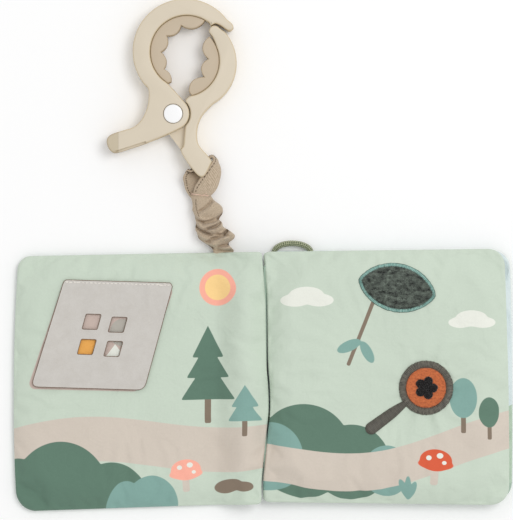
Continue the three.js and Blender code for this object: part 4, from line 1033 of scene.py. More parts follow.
def wovenDisc():  # coarse basket weave in soft cotton, rows across the disc
    material, tree, shader = newMaterial("coarse woven cotton")
    coordinates = addNode(tree, "TexCoord")
    place = addNode(tree, "Mapping", links={0: coordinates.outputs["Object"], 3: (1 / mm, 1 / mm, 1 / mm)})
    axes = addNode(tree, "SeparateXYZ", links={0: place.outputs[0]})
    rows, columns = [
        calc(tree, "SINE", calc(tree, "MULTIPLY", axes.outputs[axis], math.tau / pitch))
        for axis, pitch in ((1, ringPatch["row"]), (0, ringPatch["row"] * 0.8))]
    cross = calc(tree, "MULTIPLY_ADD", columns, 0.45, rows)
    tone = calc(tree, "MULTIPLY_ADD", cross, 0.14, addNoise(tree, place.outputs[0], 0.8, 3.0))
    colour = addRamp(tree, tone, (0.22, ringPatch["weaveDark"]), (0.66, ringPatch["weave"]))
    tree.links.new(colour, shader.inputs["Base Color"])
    addBump(tree, shader, cross, 0.55, 0.0003)
    setShader(shader, Roughness=0.85, Sheen_Weight=0.2)
    return material


def addRingPatch():
    centre = Vector(ringPatch["middle"])
    band = (ringPatch["outer"] - ringPatch["inner"]) / 2
    middleRadius = ringPatch["inner"] + band
    length = math.tau * middleRadius
    threads = round(length / ringPatch["threadPitch"])
    page = rightPageAt(centre.x, centre.y, 14) + 0.25
    random.seed(5)
    uneven = [random.uniform(-0.12, 0.12) for _ in range(threads + 1)]

    def ring(s, t):
        over = math.tau * t
        ridge = 1 + 0.09 * math.cos(math.tau * s * threads)
        wide = band + uneven[int(s * threads) % threads]
        spot = centre + aroundPoint(math.tau * s) * (middleRadius + wide * math.cos(over))
        high = satinHigh(over, ringPatch["high"] * ridge)
        return Vector((*spot, mix(page, rightPageAt(*spot, 3) + 0.1, 0.5) + high))

    bm = wrapGrid(threads * 4, 16, ring, size=(length, 4 * band), joinAlong=True)
    way = aroundPoint(math.radians(ringPatch["handleTurn"]))
    across = Vector((-way.y, way.x))
    rows = round(ringPatch["handleLong"] / ringPatch["threadPitch"])

    def handle(s, t):
        over = math.tau * t
        far = ringPatch["handleLong"] * s
        half = alongTable(ringPatch["handleWidths"], s) / 2
        left = ringPatch["handleLong"] - far
        if left < half:  # the round end
            half *= math.sqrt(max(0.0025, 1 - (1 - left / half) ** 2))
        ridge = 1 + 0.07 * math.cos(math.tau * s * rows)
        spot = centre + way * (ringPatch["handleStart"] + far) + across * half * math.cos(over)
        high = satinHigh(over, ringPatch["handleHigh"] * ridge * mix(0.3, 1, smoothStep(0, 2.2, left)))
        return Vector((*spot, rightPageAt(*spot, 4) + 0.15 + high))

    stem = wrapGrid(rows * 4, 16, handle, size=(ringPatch["handleLong"], 12))
    for face in stem.faces:
        face.material_index = 1
    addTo(bm, stem)
    pitch = ringPatch["threadPitch"]
    piece = finishPiece("satin_ring", bm, [
        satinThread("rayon satin stitch, grey", ringPatch["satin"], ringPatch["satinShadeBetweenThreads"], pitch),
        satinThread("rayon satin stitch, handle", ringPatch["handle"], ringPatch["handleShadeBetweenThreads"], pitch)])
    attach(piece, "middle_leaf")
    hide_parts("ring_patch")

    def outAndBack(s):  # over the upper face to the edge, and back along the under face
        return max(0.002, (min(s, 0.5) if s <= 0.5 else 1 - s) * 2)

    def disc(s, t):
        part = outAndBack(s)
        spot = centre + aroundPoint(math.tau * t) * (ringPatch["inner"] + 0.2) * part
        high = ringPatch["discHigh"] - 0.25 * part ** 4 if s <= 0.5 else 0.1
        return Vector((*spot, page + high + 0.12 * noiseAt(spot.x * 0.2, spot.y * 0.2, 2)))

    bm = wrapGrid(32, 64, disc, size=(26, 80))
    woven = finishPiece("woven_disc", bm, [wovenDisc()])
    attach(woven, "middle_leaf")
    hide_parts("ring_disc")

    def petalRadius(angle):
        wave = abs(math.cos(ringPatch["petals"] * angle / 2)) ** 0.8
        return ringPatch["flower"] * mix(ringPatch["waist"], 1, wave)

    def feltHigh(part):
        return ringPatch["feltHigh"] * math.sqrt(max(0, 1 - part ** 8))

    def flower(s, t):
        angle, part = math.tau * t, outAndBack(s)
        uneven = 1 + 0.03 * noiseAt(angle * 4, part * 3, 5)
        spot = centre + aroundPoint(angle) * petalRadius(angle) * part * uneven
        high = feltHigh(part) - 0.3 * math.exp(-(part / 0.2) ** 2) if s <= 0.5 else -0.1
        return Vector((*spot, page + 0.72 + high + 0.1 * noiseAt(spot.x, spot.y, 2)))

    bm = wrapGrid(28, 120, flower, size=(15, 50))
    bmesh.ops.recalc_face_normals(bm, faces=bm.faces)
    random.seed(8)
    for _ in range(ringPatch["fibres"]):  # the felt's loose fibres
        angle, far = random.uniform(0, math.tau), math.sqrt(random.random())
        spot = centre + aroundPoint(angle) * petalRadius(angle) * far
        way = Vector((random.gauss(0, 1), random.gauss(0, 1), random.uniform(0.2, 1.2))).normalized()
        base = Vector((*spot, page + ringPatch["feltFoot"] + feltHigh(far)))
        addFibre(bm, base + way * 0.25, way, 3, ringPatch["fibreFoot"], ringPatch["fibreTip"],
                 ringPatch["fibreLong"])
    black = suedeCloth("wool felt, black", ringPatch["felt"], "#171513", 2.0)
    felt = finishPiece("felt_flower", bm, [black], turnOut=False)
    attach(felt, "middle_leaf")
    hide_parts("disc_flower")


addRingPatch()
print("ring patch made")


# Clip: two moulded jaws on a sprung pivot; places are shares of the ring's radius, from the ring's middle

clip = {
    "middle": (-130.47, 207.58), "radius": 33.5, "low": 0.4, "high": 14.0, "round": 1.25, "ear": 4.4,
    "pivot": (-0.231, -1.183), "hub": 10.4, "hubGap": 0.65, "knuckle": 10.0, "fit": 0.3,
    "leverBore": (0.029, -0.01), "leverBoreRadius": 23.4,
    "tailBore": (-0.03, -0.181), "tailBoreRadius": 22.8, "tailBack": (0.08, -0.219), "tailBackRadius": 30.0,
    "leverNeck": [(-0.697, -0.9), (-0.715, -1.03), (-0.769, -1.183), (-0.85, -1.32), (-0.975, -1.431),
                  (-1.14, -1.49), (-1.326, -1.546), (-1.425, -1.59), (-1.475, -1.64), (-1.493, -1.7),
                  (-1.472, -1.8), (-1.42, -1.888), (-1.35, -1.923), (-1.27, -1.912), (-1.02, -1.835),
                  (-0.769, -1.75), (-0.353, -1.584)],
    "leverTip": [(0.49, 0.49), (0.563, 0.53), (0.66, 0.497), (0.82, 0.395), (0.875, 0.405),
                 (0.915, 0.455), (0.89, 0.525)],
    "tailNeck": [(0.315, -2.393), (0.47, -2.165), (0.503, -2.1), (0.452, -2.011), (0.32, -1.86),
                 (0.25, -1.76), (0.222, -1.63), (0.235, -1.43), (0.31, -1.235)],
    "tailTip": [(0.675, 0.425), (0.605, 0.48), (0.535, 0.492), (0.475, 0.455), (0.45, 0.38), (0.522, 0.27)],
    "tailHeel": [(-0.05, -1.83), (-0.095, -1.855)],
    "padEnd": -1.27, "groove": [(-1.31, -1.925), (-0.74, -1.742)], "grooveDeep": 5, "grooveWide": 6,
    "slotWide": 3.6, "slotHigh": 10.2, "slotWall": 2.4, "cap": 6.0, "capGap": 0.4, "capThick": 1.6,
    "gripInset": 1.4, "gripRound": 0.9, "leverLobe": 0.22, "tailLobe": 0.28,
    "leverCusps": [(60, 0.97), (102, 0.755), (141, 0.715), (180, 0.715), (217, 0.785), (243, 0.985)],
    "tailCusps": [(44, 0.97), (5, 0.705), (-38, 0.74), (-81, 0.96)],
    # the rim colours are painted shade for the round rims, not colours of the plastic
    "plastic": "#D8CCB7", "rim": "#D3C19F", "grip": "#C6B69F", "gripPaintedRimShade": "#BBA88A", "pad": "#C9BCA3",
}


def clipPlan(share):
    return Vector([middle + part * clip["radius"] for middle, part in zip(clip["middle"], share)])


def planned(name):  # a named row of the clip's places
    return [clipPlan(share) for share in clip[name]]


def clipArc(middle, radius, start, stop, steps):  # degrees
    turns = [math.radians(mix(start, stop, i / steps)) for i in range(steps + 1)]
    return [middle + aroundPoint(turn) * radius for turn in turns]


def between(first, second, start, stop, at):  # the point at a time between two timed points
    return first * ((stop - at) / (stop - start)) + second * ((at - start) / (stop - start))


def smoothOutline(points, corners=(), spacing=0.9, clear=2.1):
    # an even line through a closed row of points; the corners stay single points, clear of others
    count = len(points)
    sharp = {i for i, p in enumerate(points) if any((p - c).length < 0.01 for c in corners)}
    fine = []
    for i in range(count):
        p = [points[(i + k - 1) % count] for k in range(4)]
        t = [0.0]
        for k in range(3):
            t.append(t[-1] + max(0.05, (p[k + 1] - p[k]).length) ** 0.5)
        steps = max(1, round((p[2] - p[1]).length / spacing))
        for step in range(steps):
            at = mix(t[1], t[2], step / steps)
            a = [between(p[k], p[k + 1], t[k], t[k + 1], at) for k in range(3)]
            b = [between(a[k], a[k + 1], t[k], t[k + 2], at) for k in range(2)]
            spot = between(b[0], b[1], t[1], t[2], at)
            if (step == 0 and i in sharp) or all((spot - points[k]).length > clear for k in sharp):
                fine.append(spot)
    return fine


def plateOf(outline, low, high, rounding=0.0, corners=()):  # a flat plate with rounded rims and corners
    bm = bmesh.new()
    edges = addRing(bm, outline, low)
    bmesh.ops.contextual_create(bm, geom=edges)
    made = bmesh.ops.extrude_face_region(bm, geom=bm.faces[:])["geom"]
    raised = [g for g in made if isinstance(g, bmesh.types.BMVert)]
    bmesh.ops.translate(bm, verts=raised, vec=(0, 0, high - low))
    bmesh.ops.recalc_face_normals(bm, faces=bm.faces)
    upright = [e for e in bm.edges if abs(e.verts[0].co.z - e.verts[1].co.z) > 1
               and any((e.verts[0].co.xy - c).length < 0.01 for c in corners)]
    if upright:
        bmesh.ops.bevel(bm, geom=upright, offset=1.3, offset_type="OFFSET", segments=4, profile=0.5,
                        affect="EDGES", material=-1, clamp_overlap=True)
    if rounding:
        rims = [e for e in bm.edges if abs(e.verts[0].co.z - e.verts[1].co.z) < 1e-4]
        bmesh.ops.bevel(bm, geom=rims, offset=rounding, offset_type="OFFSET", segments=4, profile=0.5,
                        affect="EDGES", material=-1, clamp_overlap=False)
    return bm


def drum(middle, radius, low, high, sides=64):
    return plateOf(clipArc(middle, radius, 0, 360 - 360 / sides, sides - 1), low, high)


def combine(target, cutters, operation="DIFFERENCE"):  # cuts or joins solids, then drops the tools
    for cutter in cutters:
        tool = finishPiece("tool", cutter, [])
        modifier = target.modifiers.new("tool", "BOOLEAN")
        modifier.object = tool
        modifier.operation = operation
        modifier.solver = "EXACT"
        applyModifiers(target)
        bpy.data.objects.remove(tool)


def slab(start, end, half, low, high):  # a straight cut from one place to another
    way = (end - start).normalized()
    side = Vector((-way.y, way.x)) * half
    return plateOf([start - side, end - side, end + side, start + side], low, high)


pivot = clipPlan(clip["pivot"])
tailCorner, tailEnd = planned("tailNeck")[:2]
tailHeel = planned("tailHeel")[1]
tailWay = (tailCorner - tailHeel).normalized()
tailAcross = Vector((-tailWay.y, tailWay.x))
earTop, earLow = clip["high"] - clip["ear"], clip["low"] + clip["ear"]


def knuckleWeb(radius, turn, reach):
    angle = math.atan2(tailWay.y, tailWay.x) - math.pi / 2 + turn
    touch = pivot + aroundPoint(angle) * radius
    return touch, touch + (Matrix.Rotation(turn, 2) @ tailWay) * reach


def shadeSmooth(piece, degrees=32):  # round where it curves, crisp where it is cut
    bm = bmesh.new()
    bm.from_mesh(piece.data)
    bmesh.ops.remove_doubles(bm, verts=bm.verts, dist=0.01 * mm)
    for face in bm.faces:
        face.smooth = True
    for edge in bm.edges:
        edge.smooth = len(edge.link_faces) == 2 and edge.calc_face_angle(0) < math.radians(degrees)
    bm.to_mesh(piece.data)
    bm.free()


def mouldedPlastic(name, shade, rim, rough, grain):
    # injection-moulded ABS, spark-eroded mould: satin, with a fine even grain; the rounded rims take a painted
    # warmer shade
    material, tree, shader = newMaterial(name)
    coordinates = addNode(tree, "TexCoord")
    fine = addNoise(tree, coordinates.outputs["Object"], 1 / (grain * mm), 3.0)
    tone = toRange(tree, addNoise(tree, coordinates.outputs["Object"], 45.0, 2.0), 0.975, 1.02, 0.3, 0.7)
    # painted light: where the surface turns away from upright the colour goes to the rim colour, a warmer, darker
    # shade standing in for light that goes a little way into the plastic and comes out warmer
    facing = addNode(tree, "SeparateXYZ", links={0: coordinates.outputs["Normal"]})
    flat = toRange(tree, calc(tree, "ABSOLUTE", facing.outputs[2]), 0.0, 1.0, 0.55, 0.99)
    tintBase(tree, shader, blendColours(tree, flat, linear(rim), linear(shade)), tone)
    tree.links.new(toRange(tree, fine, rough - 0.06, rough + 0.08, 0.3, 0.7), shader.inputs["Roughness"])
    addBump(tree, shader, fine, 0.12, 0.0001)
    setShader(shader, IOR=1.5)
    return material


def addJaws():
    plastic = mouldedPlastic("moulded ABS, sand", clip["plastic"], clip["rim"], 0.48, 0.35)
    softEnd = mouldedPlastic("moulded TPE, soft end", clip["pad"], clip["gripPaintedRimShade"], 0.72, 0.5)
    far = 2 * clip["radius"]
    outline = (clipArc(Vector(clip["middle"]), clip["radius"], 37, 225, 24) + planned("leverNeck")
               + clipArc(pivot, clip["hub"], -68, 46, 9)
               + clipArc(clipPlan(clip["leverBore"]), clip["leverBoreRadius"], 238, 52, 22)
               + planned("leverTip"))
    whole = plateOf(smoothOutline(outline), clip["low"], clip["high"], clip["round"])
    padX = clip["middle"][0] + clip["padEnd"] * clip["radius"]
    soft = whole.copy()
    for bm, edge, inner in ((whole, padX + 0.03, True), (soft, padX - 0.03, False)):
        bmesh.ops.bisect_plane(bm, geom=bm.verts[:] + bm.edges[:] + bm.faces[:], plane_co=(edge, 0, 0),
                               plane_no=(1, 0, 0), clear_inner=inner, clear_outer=not inner)
        bmesh.ops.holes_fill(bm, edges=[e for e in bm.edges if e.is_boundary], sides=0)
    lever = finishPiece("lever_jaw_moulding", whole, [plastic])
    pad = finishPiece("lever_soft_end", soft, [softEnd])
    touch, foot = knuckleWeb(clip["knuckle"] + 2 * clip["fit"], -math.radians(33), far)
    corner = pivot + Vector((far, 0))
    middle = (clip["low"] + clip["high"]) / 2
    recess = clip["capThick"] + clip["fit"]
    combine(lever, [
        drum(pivot, clip["knuckle"] + 2 * clip["fit"], earLow, earTop),
        plateOf([touch, foot, Vector((corner.x, foot.y)), corner, pivot], earLow, earTop),
        drum(pivot, clip["cap"] + clip["capGap"], clip["high"] - recess, clip["high"] + 5),
        drum(pivot, clip["cap"] + clip["capGap"], clip["low"] - 5, clip["low"] + recess),
        slab(pivot, pivot + aroundPoint(math.radians(196)) * 13, 0.9, earLow, earTop),
        # room for the spring's leg as the jaw opens
        plateOf([pivot] + clipArc(pivot, 13, 162, 196, 5), earLow, earTop),
    ])
    half = clip["grooveWide"] / 2
    for piece in (lever, pad):
        combine(piece, [
            slab(*planned("groove"), clip["grooveDeep"], middle - half, middle + half),
            slab(*planned("groove"), 1.3, clip["high"] - 3.2, clip["high"] + 2),  # the upper rim is set back
        ])

    hubRim = clip["hub"] + clip["hubGap"]
    outline = (planned("tailNeck")
               + clipArc(clipPlan(clip["tailBack"]), clip["tailBackRadius"], -60, 40, 14)
               + planned("tailTip")
               + clipArc(clipPlan(clip["tailBore"]), clip["tailBoreRadius"], 22, -80, 14)
               + clipArc(pivot, hubRim, 48, -43, 8) + planned("tailHeel"))
    corners = [tailCorner, tailEnd, tailHeel, clipArc(pivot, hubRim, 48, 48, 1)[0]]
    tail = finishPiece("tail_jaw_moulding", plateOf(
        smoothOutline(outline, corners), clip["low"], clip["high"], clip["round"], corners), [plastic])
    touch, foot = knuckleWeb(clip["knuckle"], 0, (tailCorner - tailHeel).length * 1.1)
    low, high = earLow + clip["fit"], earTop - clip["fit"]
    web = [touch, foot, foot + tailAcross * clip["hub"], clipPlan((0.12, -1.45)), clipPlan((0.12, -1.1)), pivot]
    combine(tail, [drum(pivot, clip["knuckle"], low, high), plateOf(web, low, high)], "UNION")
    wedge = [pivot] + clipArc(pivot, clip["knuckle"] + 5, 176, 232, 4)
    along = (tailEnd - tailHeel).dot(tailWay) - clip["slotWall"] - clip["slotWide"] / 2
    across = (tailEnd - tailHeel).dot(tailAcross)
    slotMiddle = tailHeel + tailWay * along + tailAcross * (across / 2)
    slotSide = tailAcross * (abs(across) + 3)
    combine(tail, [
        drum(pivot, 5.2, low + 1.1, high + 3), plateOf(wedge, low + 1.1, high + 3),
        slab(pivot, pivot + aroundPoint(math.radians(-20)) * 9.2, 0.9, high - 1.8, high + 3),
        slab(slotMiddle - slotSide, slotMiddle + slotSide, clip["slotWide"] / 2,
             middle - clip["slotHigh"] / 2, middle + clip["slotHigh"] / 2),
    ])
    for piece, body, slot, node in ((lever, "lever", "clip_plastic", "lever_jaw"),
                                    (pad, "lever", "soft_pad", "lever_pad"),
                                    (tail, "clip", "clip_plastic", "tail_jaw")):
        shadeSmooth(piece)
        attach(piece, body)
        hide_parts(node)


def addGrips():
    rubber = mouldedPlastic("moulded TPE, lining", clip["grip"], clip["gripPaintedRimShade"], 0.7, 0.45)
    low, high = clip["low"] + clip["gripInset"], clip["high"] - clip["gripInset"]
    for name, side, body, node in (("lever_lining", "lever", "lever", "lever_jaw_grip"),
                                   ("tail_lining", "tail", "clip", "tail_jaw_grip")):
        middle, radius, cusps = clipPlan(clip[side + "Bore"]), clip[side + "BoreRadius"], clip[side + "Cusps"]
        points = [clipArc(middle, radius * share - clip["fit"], angle, angle, 1)[0] for angle, share in cusps]
        sign = 1 if cusps[1][0] > cusps[0][0] else -1
        outline = []
        for start, end in zip(points, points[1:]):
            chord = end - start
            inward = Vector((-chord.y, chord.x)) * (sign * clip[side + "Lobe"])
            outline += [start + chord * (k / 10) + inward * math.sin(math.pi * k / 10) ** 0.8
                        for k in range(10)]
        outline += clipArc(middle, radius - 0.1, cusps[-1][0] - 4 * sign, cusps[0][0] + sign, 30)
        piece = finishPiece(name, plateOf(outline, low, high, clip["gripRound"]), [rubber])
        shadeSmooth(piece, 40)
        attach(piece, body)
        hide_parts(node)


def addCaps():
    # the second colour is the painted rim shade
    gloss = mouldedPlastic("polished ABS, white", "#FAFAFA", "#F4F4F2", 0.22, 0.6)
    for name, node, base, way in (("front_cap_polished", "front_cap", clip["high"] - clip["capThick"], 1),
                                  ("rear_cap_polished", "rear_cap", clip["low"] + clip["capThick"], -1)):
        bm = bmesh.new()
        rim = clip["cap"]
        profile = [(0, 0), (rim, 0), (rim, 1.0), (rim - 0.12, 1.25), (rim - 0.4, 1.42), (rim - 1.2, 1.5),
                   (3, 1.57), (0, clip["capThick"])]
        verts = [bm.verts.new((pivot.x + r, pivot.y, base + way * z)) for r, z in profile]
        edges = [bm.edges.new(pair) for pair in zip(verts, verts[1:])]
        bmesh.ops.spin(bm, geom=verts + edges, cent=(pivot.x, pivot.y, 0), axis=(0, 0, 1), angle=math.tau,
                       steps=72, use_merge=True)
        bmesh.ops.remove_doubles(bm, verts=bm.verts, dist=0.001)
        piece = finishPiece(name, bm, [gloss])
        shadeSmooth(piece, 50)
        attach(piece, "clip")
        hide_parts(node)


def drawnSteel():  # bright drawn spring wire: fine lengthwise streaks and a thin film of oil
    material, tree, shader = newMaterial("drawn spring steel")
    streak = addNoise(tree, addNode(tree, "TexCoord").outputs["Object"], 1800.0, 2.0)
    tree.links.new(toRange(tree, streak, 0.24, 0.42), shader.inputs["Roughness"])
    tintBase(tree, shader, linear("#C4C6C9")[:3], toRange(tree, streak, 0.9, 1.05))
    setShader(shader, Metallic=1.0)
    return material


def dressNode(name, material):  # a solid that stays as it is and takes a better finish
    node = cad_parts[name]
    node.data.materials.clear()
    node.data.materials.append(material)


addJaws()
addGrips()
addCaps()
for name in ("torsion_spring", "pivot_pin"):
    dressNode(name, drawnSteel())
print("clip made")


# Ruched strap: a twill tube gathered over flat elastic, then a band through the clip's slot, tied with thread

strap = {
    # from the seam up: height on the page plane, left edge, right edge, middle height, half thickness
    "rows": [
        (77.6, -112.6, -100.0, 3.5, 1.2), (79.6, -112.7, -99.9, 3.6, 1.6), (81.3, -113.0, -99.8, 4.0, 2.6),
        (83.2, -114.6, -101.6, 4.8, 4.0), (85.8, -118.4, -102.9, 5.6, 5.0), (88.3, -121.6, -99.6, 6.1, 5.6),
        (90.9, -122.8, -99.2, 6.3, 5.8), (94.1, -124.1, -103.2, 6.4, 5.6), (96.2, -124.0, -106.4, 6.4, 5.0),
        (98.6, -123.7, -107.2, 6.4, 5.2), (101.1, -124.2, -108.9, 6.4, 5.0),
        (104.3, -125.0, -107.0, 6.4, 5.5), (106.9, -126.0, -106.5, 6.4, 5.6),
        (109.6, -125.9, -107.8, 6.3, 5.2), (113.0, -126.4, -112.2, 6.2, 4.2),
        (116.0, -127.6, -114.2, 6.2, 3.1),
    ],
    # each crease from one place to another on the page plane, its bow, depth and width
    "creases": [
        (-106.6, 104.4, -118.0, 98.6, 1.4, 4.6, 1.15), (-125.6, 103.4, -118.5, 98.8, -0.8, 2.2, 0.9),
        (-106.8, 100.6, -116.8, 94.4, 1.4, 4.4, 1.1), (-125.0, 98.2, -114.5, 91.6, -1.4, 3.6, 1.15),
        (-102.2, 96.2, -113.8, 88.2, 2.2, 5.0, 1.2), (-124.4, 91.6, -114.6, 86.4, -1.2, 2.8, 1.0),
        (-99.6, 86.6, -110.5, 83.6, 0.8, 4.0, 1.0), (-121.4, 87.0, -108.0, 81.8, -1.0, 3.4, 1.0),
        (-113.4, 113.0, -121.4, 106.0, 0.9, 1.8, 1.1), (-103.2, 90.2, -110.6, 91.4, 0.5, 2.2, 0.9),
        (-112.6, 82.6, -102.0, 80.8, -0.4, 2.2, 0.7)],
    "seam": [(-123.7, 113.4), (-123.8, 110.0), (-122.9, 106.0), (-121.6, 102.2)],
    "steps": 210, "sides": 96,
    "twill": "#CDBBA4", "twillDark": "#A8967F", "topstitch": "#58462F", "wale": 0.95,
}


def strapTwill(name):
    # brushed cotton twill: matt, diagonal wales; the real ones are 0.5 mm apart, drawn wider to show
    material, tree, shader = newMaterial(name)
    flat = addNode(tree, "TexCoord").outputs["UV"]
    turned = addNode(tree, "Mapping", links={0: flat, 2: (0, 0, math.radians(38))})
    axes = addNode(tree, "SeparateXYZ", links={0: turned.outputs[0]})
    wale = calc(tree, "SINE", calc(tree, "MULTIPLY", axes.outputs[0], math.tau / strap["wale"]))
    tone = calc(tree, "MULTIPLY_ADD", wale, 0.13, addNoise(tree, flat, 1.1, 4.0, Roughness=0.65))
    colour = addRamp(tree, tone, (0.28, strap["twillDark"]), (0.7, strap["twill"]))
    tree.links.new(colour, shader.inputs["Base Color"])
    addBump(tree, shader, tone, 0.45, 0.0004)
    setShader(shader, Roughness=0.88, Sheen_Weight=0.2, Specular_IOR_Level=0.25)
    return material


def wovenElastic():  # flat braided elastic: ribbed along its length
    material, tree, shader = newMaterial("woven elastic")
    ribs = addNode(tree, "TexWave", {"bands_direction": "X"}, {
        "Vector": addNode(tree, "TexCoord").outputs["Object"], "Scale": 350.0, "Distortion": 0.4}).outputs[1]
    tintBase(tree, shader, linear("#E9E4DA")[:3], toRange(tree, ribs, 0.85, 1.0))
    addBump(tree, shader, ribs, 0.4, 0.0002)
    setShader(shader, Roughness=0.7)
    return material


twill = strapTwill("brushed cotton twill")


def foldHeight(x, y, scale):  # one side of each crease rides over the other, as gathered cloth does
    total = 0
    for x0, y0, x1, y1, bow, deep, wide in strap["creases"]:
        start, end = Vector((x0, y0)), Vector((x1, y1))
        way = end - start
        length = way.length
        way /= length
        side = Vector((-way.y, way.x))
        here = Vector((x, y)) - start
        along = here.dot(way) / length
        off = here.dot(side) - bow * math.sin(math.pi * min(1, max(0, along)))
        reach = smoothStep(-0.25, 0.15, along) * smoothStep(1.25, 0.85, along)
        valley = -1.7 * deep * math.exp(-(off / (0.9 * wide)) ** 2)
        shoulder = 0.62 * deep * math.exp(-((off - 1.9 * wide) / (1.5 * wide)) ** 2)
        tuck = -0.25 * deep * math.exp(-((off + 2.4 * wide) / (1.8 * wide)) ** 2)
        total += reach * (valley + shoulder + tuck)
    return total * scale


def strapSurface(s, t):
    y, left, right, high, thick = alongRoute(strap["rows"], s)
    turn = math.tau * t
    middle, half = (left + right) / 2, (right - left) / 2
    x, z = squarish(math.cos(turn), 0.88), math.sin(turn)
    ends = smoothStep(0.05, 0.2, s) * smoothStep(1.0, 0.93, s)
    wrinkle = noiseAt(x * 1.9, y * 0.21, z * 1.5) * 0.5 + noiseAt(x * 4, y * 0.6, z * 3) * 0.22
    crumple = noiseAt(x * 1.3, y * 0.33, 9.0)
    place = Vector((middle + half * x * (1 + 0.05 * wrinkle * ends), y + 0.9 * crumple * abs(z) * ends))
    elasticX = mix(-106.65, -120.76, (place.y - 79.91) / 34.8)
    inner = smoothStep(5.6, 4.2, abs(place.x - elasticX))  # a crease stays above the elastic inside
    lowest = high + mix(-0.5 * thick, 0.95, inner) * smoothStep(0, 0.3, z)
    high += thick * z * (1 + 0.16 * wrinkle * ends)
    if z > 0:
        high = max(lowest, high + foldHeight(place.x, place.y, z ** 0.6 * ends))
    return Vector((place.x, place.y, max(0.5, high)))


def tubeTop(x, y):  # the place on the tube's upper side over a place on the page plane
    low, high = 0.0, 1.0
    for _ in range(24):
        s = (low + high) / 2
        if alongRoute(strap["rows"], s)[0] < y:
            low = s
        else:
            high = s
    row = alongRoute(strap["rows"], s)
    across = max(-0.98, min(0.98, (2 * x - row[1] - row[2]) / (row[2] - row[1])))
    turn = math.acos(squarish(across, 1 / 0.88))
    return strapSurface(s, turn / math.tau) + Vector((0, 0, 0.15))


def addStrap():
    length = 62  # the cloth tube's real run, before it was gathered
    bm = wrapGrid(strap["steps"], strap["sides"], strapSurface, size=(length, 44))
    piece = finishPiece("ruched_tube", bm, [twill])
    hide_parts("ruched_strap")
    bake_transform(piece, "front_leaf", "strap", start=(-0.10665, 0.0796, 0.0034), end=(-0.10665, 0.0836, 0.0034))
    dressNode("strap_elastic", wovenElastic())


addStrap()

band = {
    "tie": (-120.76, 114.71, 6.2), "reach": 26.9, "half": 5.2, "thick": 0.95,
    "stations": [  # across, along, height in shares of the reach; the band's direction; its width
        (0.01, 0.02, 0.075, 0.95, -0.3, 0, 0.95), (0.05, 0.15, 0.105, 0.93, -0.35, 0, 1.12),
        (0.19, 0.34, 0.13, 0.85, -0.45, -0.1, 1.22), (0.33, 0.64, 0.1, 0.75, -0.35, -0.5, 1.0),
        (0.36, 0.865, 0.04, 0.25, 0, -0.95, 0.86), (0.285, 0.965, 0.03, 0, 0, -1, 0.86),
        (0.19, 0.93, 0.03, 0, 0, -1, 0.84), (0, 0.782, 0.03, 0, 0, -1, 0.84),
        (-0.19, 0.635, 0.03, 0, 0, -1, 0.84),
        (-0.25, 0.64, 0.01, 0.4, 0.3, -0.87, 0.95), (-0.24, 0.53, -0.02, 0.85, 0.2, -0.48, 1.1),
        (-0.2, 0.4, -0.05, 0.93, 0.25, -0.25, 1.12), (-0.19, 0.27, -0.07, 0.85, 0.4, -0.15, 1.0),
        (-0.12, 0.14, -0.07, 0.85, 0.4, 0, 0.95), (-0.02, 0.01, -0.06, 0.95, 0.2, 0, 0.85)],
    "stitch": 2.2,
}


def bandFrame(s):
    row = alongRoute(band["stations"], s)
    ahead = alongRoute(band["stations"], min(1, s + 0.004)) - alongRoute(band["stations"], max(0, s - 0.004))
    middle = Vector(band["tie"]) + Vector(row[0:3]) * band["reach"]
    way = Vector(ahead[0:3]).normalized()
    across = Vector(row[3:6])
    across = (across - way * across.dot(way)).normalized()
    return middle, across, across.cross(way).normalized(), band["half"] * row[6]


def addBand():
    length = 102

    def place(s, t):
        middle, across, normal, half = bandFrame(s)
        turn = math.tau * t
        x, z = squarish(math.cos(turn), 0.75), squarish(math.sin(turn), 0.8)
        edge = 1 + 0.35 * smoothStep(0.55, 0.9, abs(x))  # the turned-in edges are thicker
        inSlot = smoothStep(0.45, 0.6, s) * smoothStep(0.72, 0.6, s)
        crease = 0.35 * noiseAt(s * 22, x * 1.2, 5.0) * (1 - inSlot)
        slotFit = 1 - 0.3 * smoothStep(0.42, 0.5, s) * smoothStep(0.7, 0.62, s)
        hollow = -1.5 * math.exp(-((s - 0.86) / 0.035) ** 2) * smoothStep(-0.2, 0.8, x)
        out = band["thick"] * edge * z * slotFit + crease * slotFit + hollow
        return middle + across * half * x + normal * out

    bm = wrapGrid(150, 28, place, size=(length, 24))
    piece = finishPiece("strap_band", bm, [twill])
    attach(piece, "clip")
    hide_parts("strap_loop")

    bm = bmesh.new()
    count = int(length / band["stitch"])
    for i in range(2, count - 2):
        for face in (1, -1):
            ends = []
            for part in (0.12, 0.78):
                middle, across, normal, half = bandFrame((i + part) / count)
                ends.append(middle + across * half * -0.72 + normal * face * band["thick"] * 1.15)
            addStitch(bm, *ends, 0.3)
    thread = sewingThread("sewing thread, brown", strap["topstitch"])
    stitches = finishPiece("band_topstitch", bm, [thread])
    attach(stitches, "clip")

    bm = bmesh.new()
    seam = [tubeTop(*alongRoute(strap["seam"], k / 13)) for k in range(14)]
    for start, end in zip(seam, seam[1:]):
        addStitch(bm, start.lerp(end, 0.1), start.lerp(end, 0.72), 0.3)
    stitches = finishPiece("tube_topstitch", bm, [thread])
    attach(stitches, "strap")


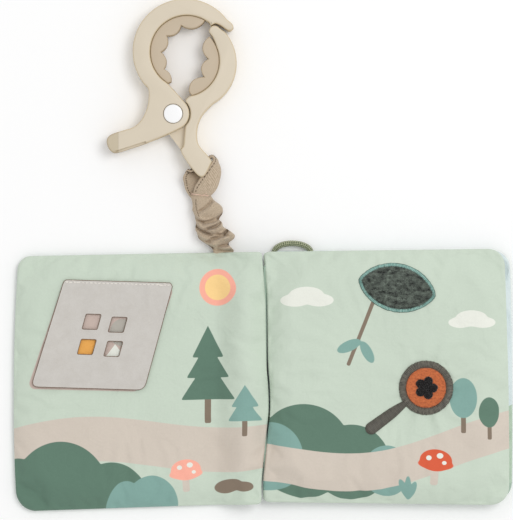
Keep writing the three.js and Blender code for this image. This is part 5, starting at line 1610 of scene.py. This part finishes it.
def addTie():  # two turns of pink thread round both layers, and its two short ends
    bm = bmesh.new()
    middle = Vector((band["tie"][0], band["tie"][1] + 1.6, band["tie"][2]))
    for k, (shift, tilt) in enumerate(((-0.15, -0.12), (0.3, -0.17))):
        def place(s, t, shift=shift, tilt=tilt, k=k):
            turn, over = math.tau * s, math.tau * t
            x, z = squarish(math.cos(turn), 0.45), squarish(math.sin(turn), 0.45)
            y = shift + tilt * x * 6 + 0.35 * math.sin(turn * 2 + k)
            out = Vector((math.cos(turn), 0, math.sin(turn)))
            spot = middle + Vector((x * 6.3, y, z * 3.9))
            return spot + out * (0.15 * math.cos(over)) + Vector((0, 0.15 * math.sin(over), 0))

        addTo(bm, wrapGrid(90, 8, place, size=(40, 2), joinAlong=True))
    top = middle + Vector((1.5, 0, 3.9))
    for dx, dy in ((3.4, -1.0), (2.8, 1.1)):
        addStitch(bm, top, top + Vector((dx, dy, 0.1)), 0.15)
    piece = finishPiece("pink_thread_tie", bm, [sewingThread("sewing thread, pink", "#F0D0BC")])
    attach(piece, "clip")
    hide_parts("tie_thread")


addBand()
addTie()
print("strap made")


# Stage: a white paper sweep, soft light from all round and one key lamp

def addStage():
    scene = bpy.context.scene
    scene.view_settings.view_transform = "Standard"
    world = bpy.data.worlds.new("studio")
    scene.world = world
    world.use_nodes = True
    tree = world.node_tree
    tree.nodes.clear()
    rays = addNode(tree, "LightPath").outputs
    seen = calc(tree, "MAXIMUM", rays["Is Camera Ray"], rays["Is Glossy Ray"])
    through = calc(tree, "MAXIMUM", seen, rays["Is Transmission Ray"])
    soft = addNode(tree, "Background", links={0: (1, 1, 1, 1), 1: 0.72})
    white = addNode(tree, "Background", links={0: (1, 1, 1, 1), 1: 1.0})
    both = addNode(tree, "MixShader", links={0: through, 1: soft.outputs[0], 2: white.outputs[0]})
    addNode(tree, "OutputWorld", links={0: both.outputs[0]})
    bm = bmesh.new()
    bmesh.ops.create_grid(bm, x_segments=1, y_segments=1, size=3000)
    # matt backdrop paper, white where nothing shades it
    material, tree, shader = newMaterial("white paper sweep")
    setShader(shader, Base_Color=linear("#FFFFFF"), Roughness=0.95, Specular_IOR_Level=0.0)
    shader.inputs["Emission Color"].default_value = (1, 1, 1, 1)
    seen = addNode(tree, "LightPath").outputs["Is Camera Ray"]
    tree.links.new(calc(tree, "MULTIPLY", seen, 0.02), shader.inputs["Emission Strength"])
    floor = finishPiece("floor", bm, [material])
    floor.data.transform(Matrix.Translation((0, 0, -0.0002)))
    lamp = bpy.data.lights.new("key", "AREA")
    lamp.shape = "SQUARE"
    lamp.size = 1.3
    lamp.energy = 25.5
    holder = bpy.data.objects.new("key", lamp)
    holder.location = (1.0, 0.75, 2.6)
    aim = Vector((-0.085, 0.05, 0)) - Vector((1.0, 0.75, 2.6))
    holder.rotation_euler = aim.to_track_quat("-Z", "Y").to_euler()
    scene.collection.objects.link(holder)


addStage()
print("stage lit")
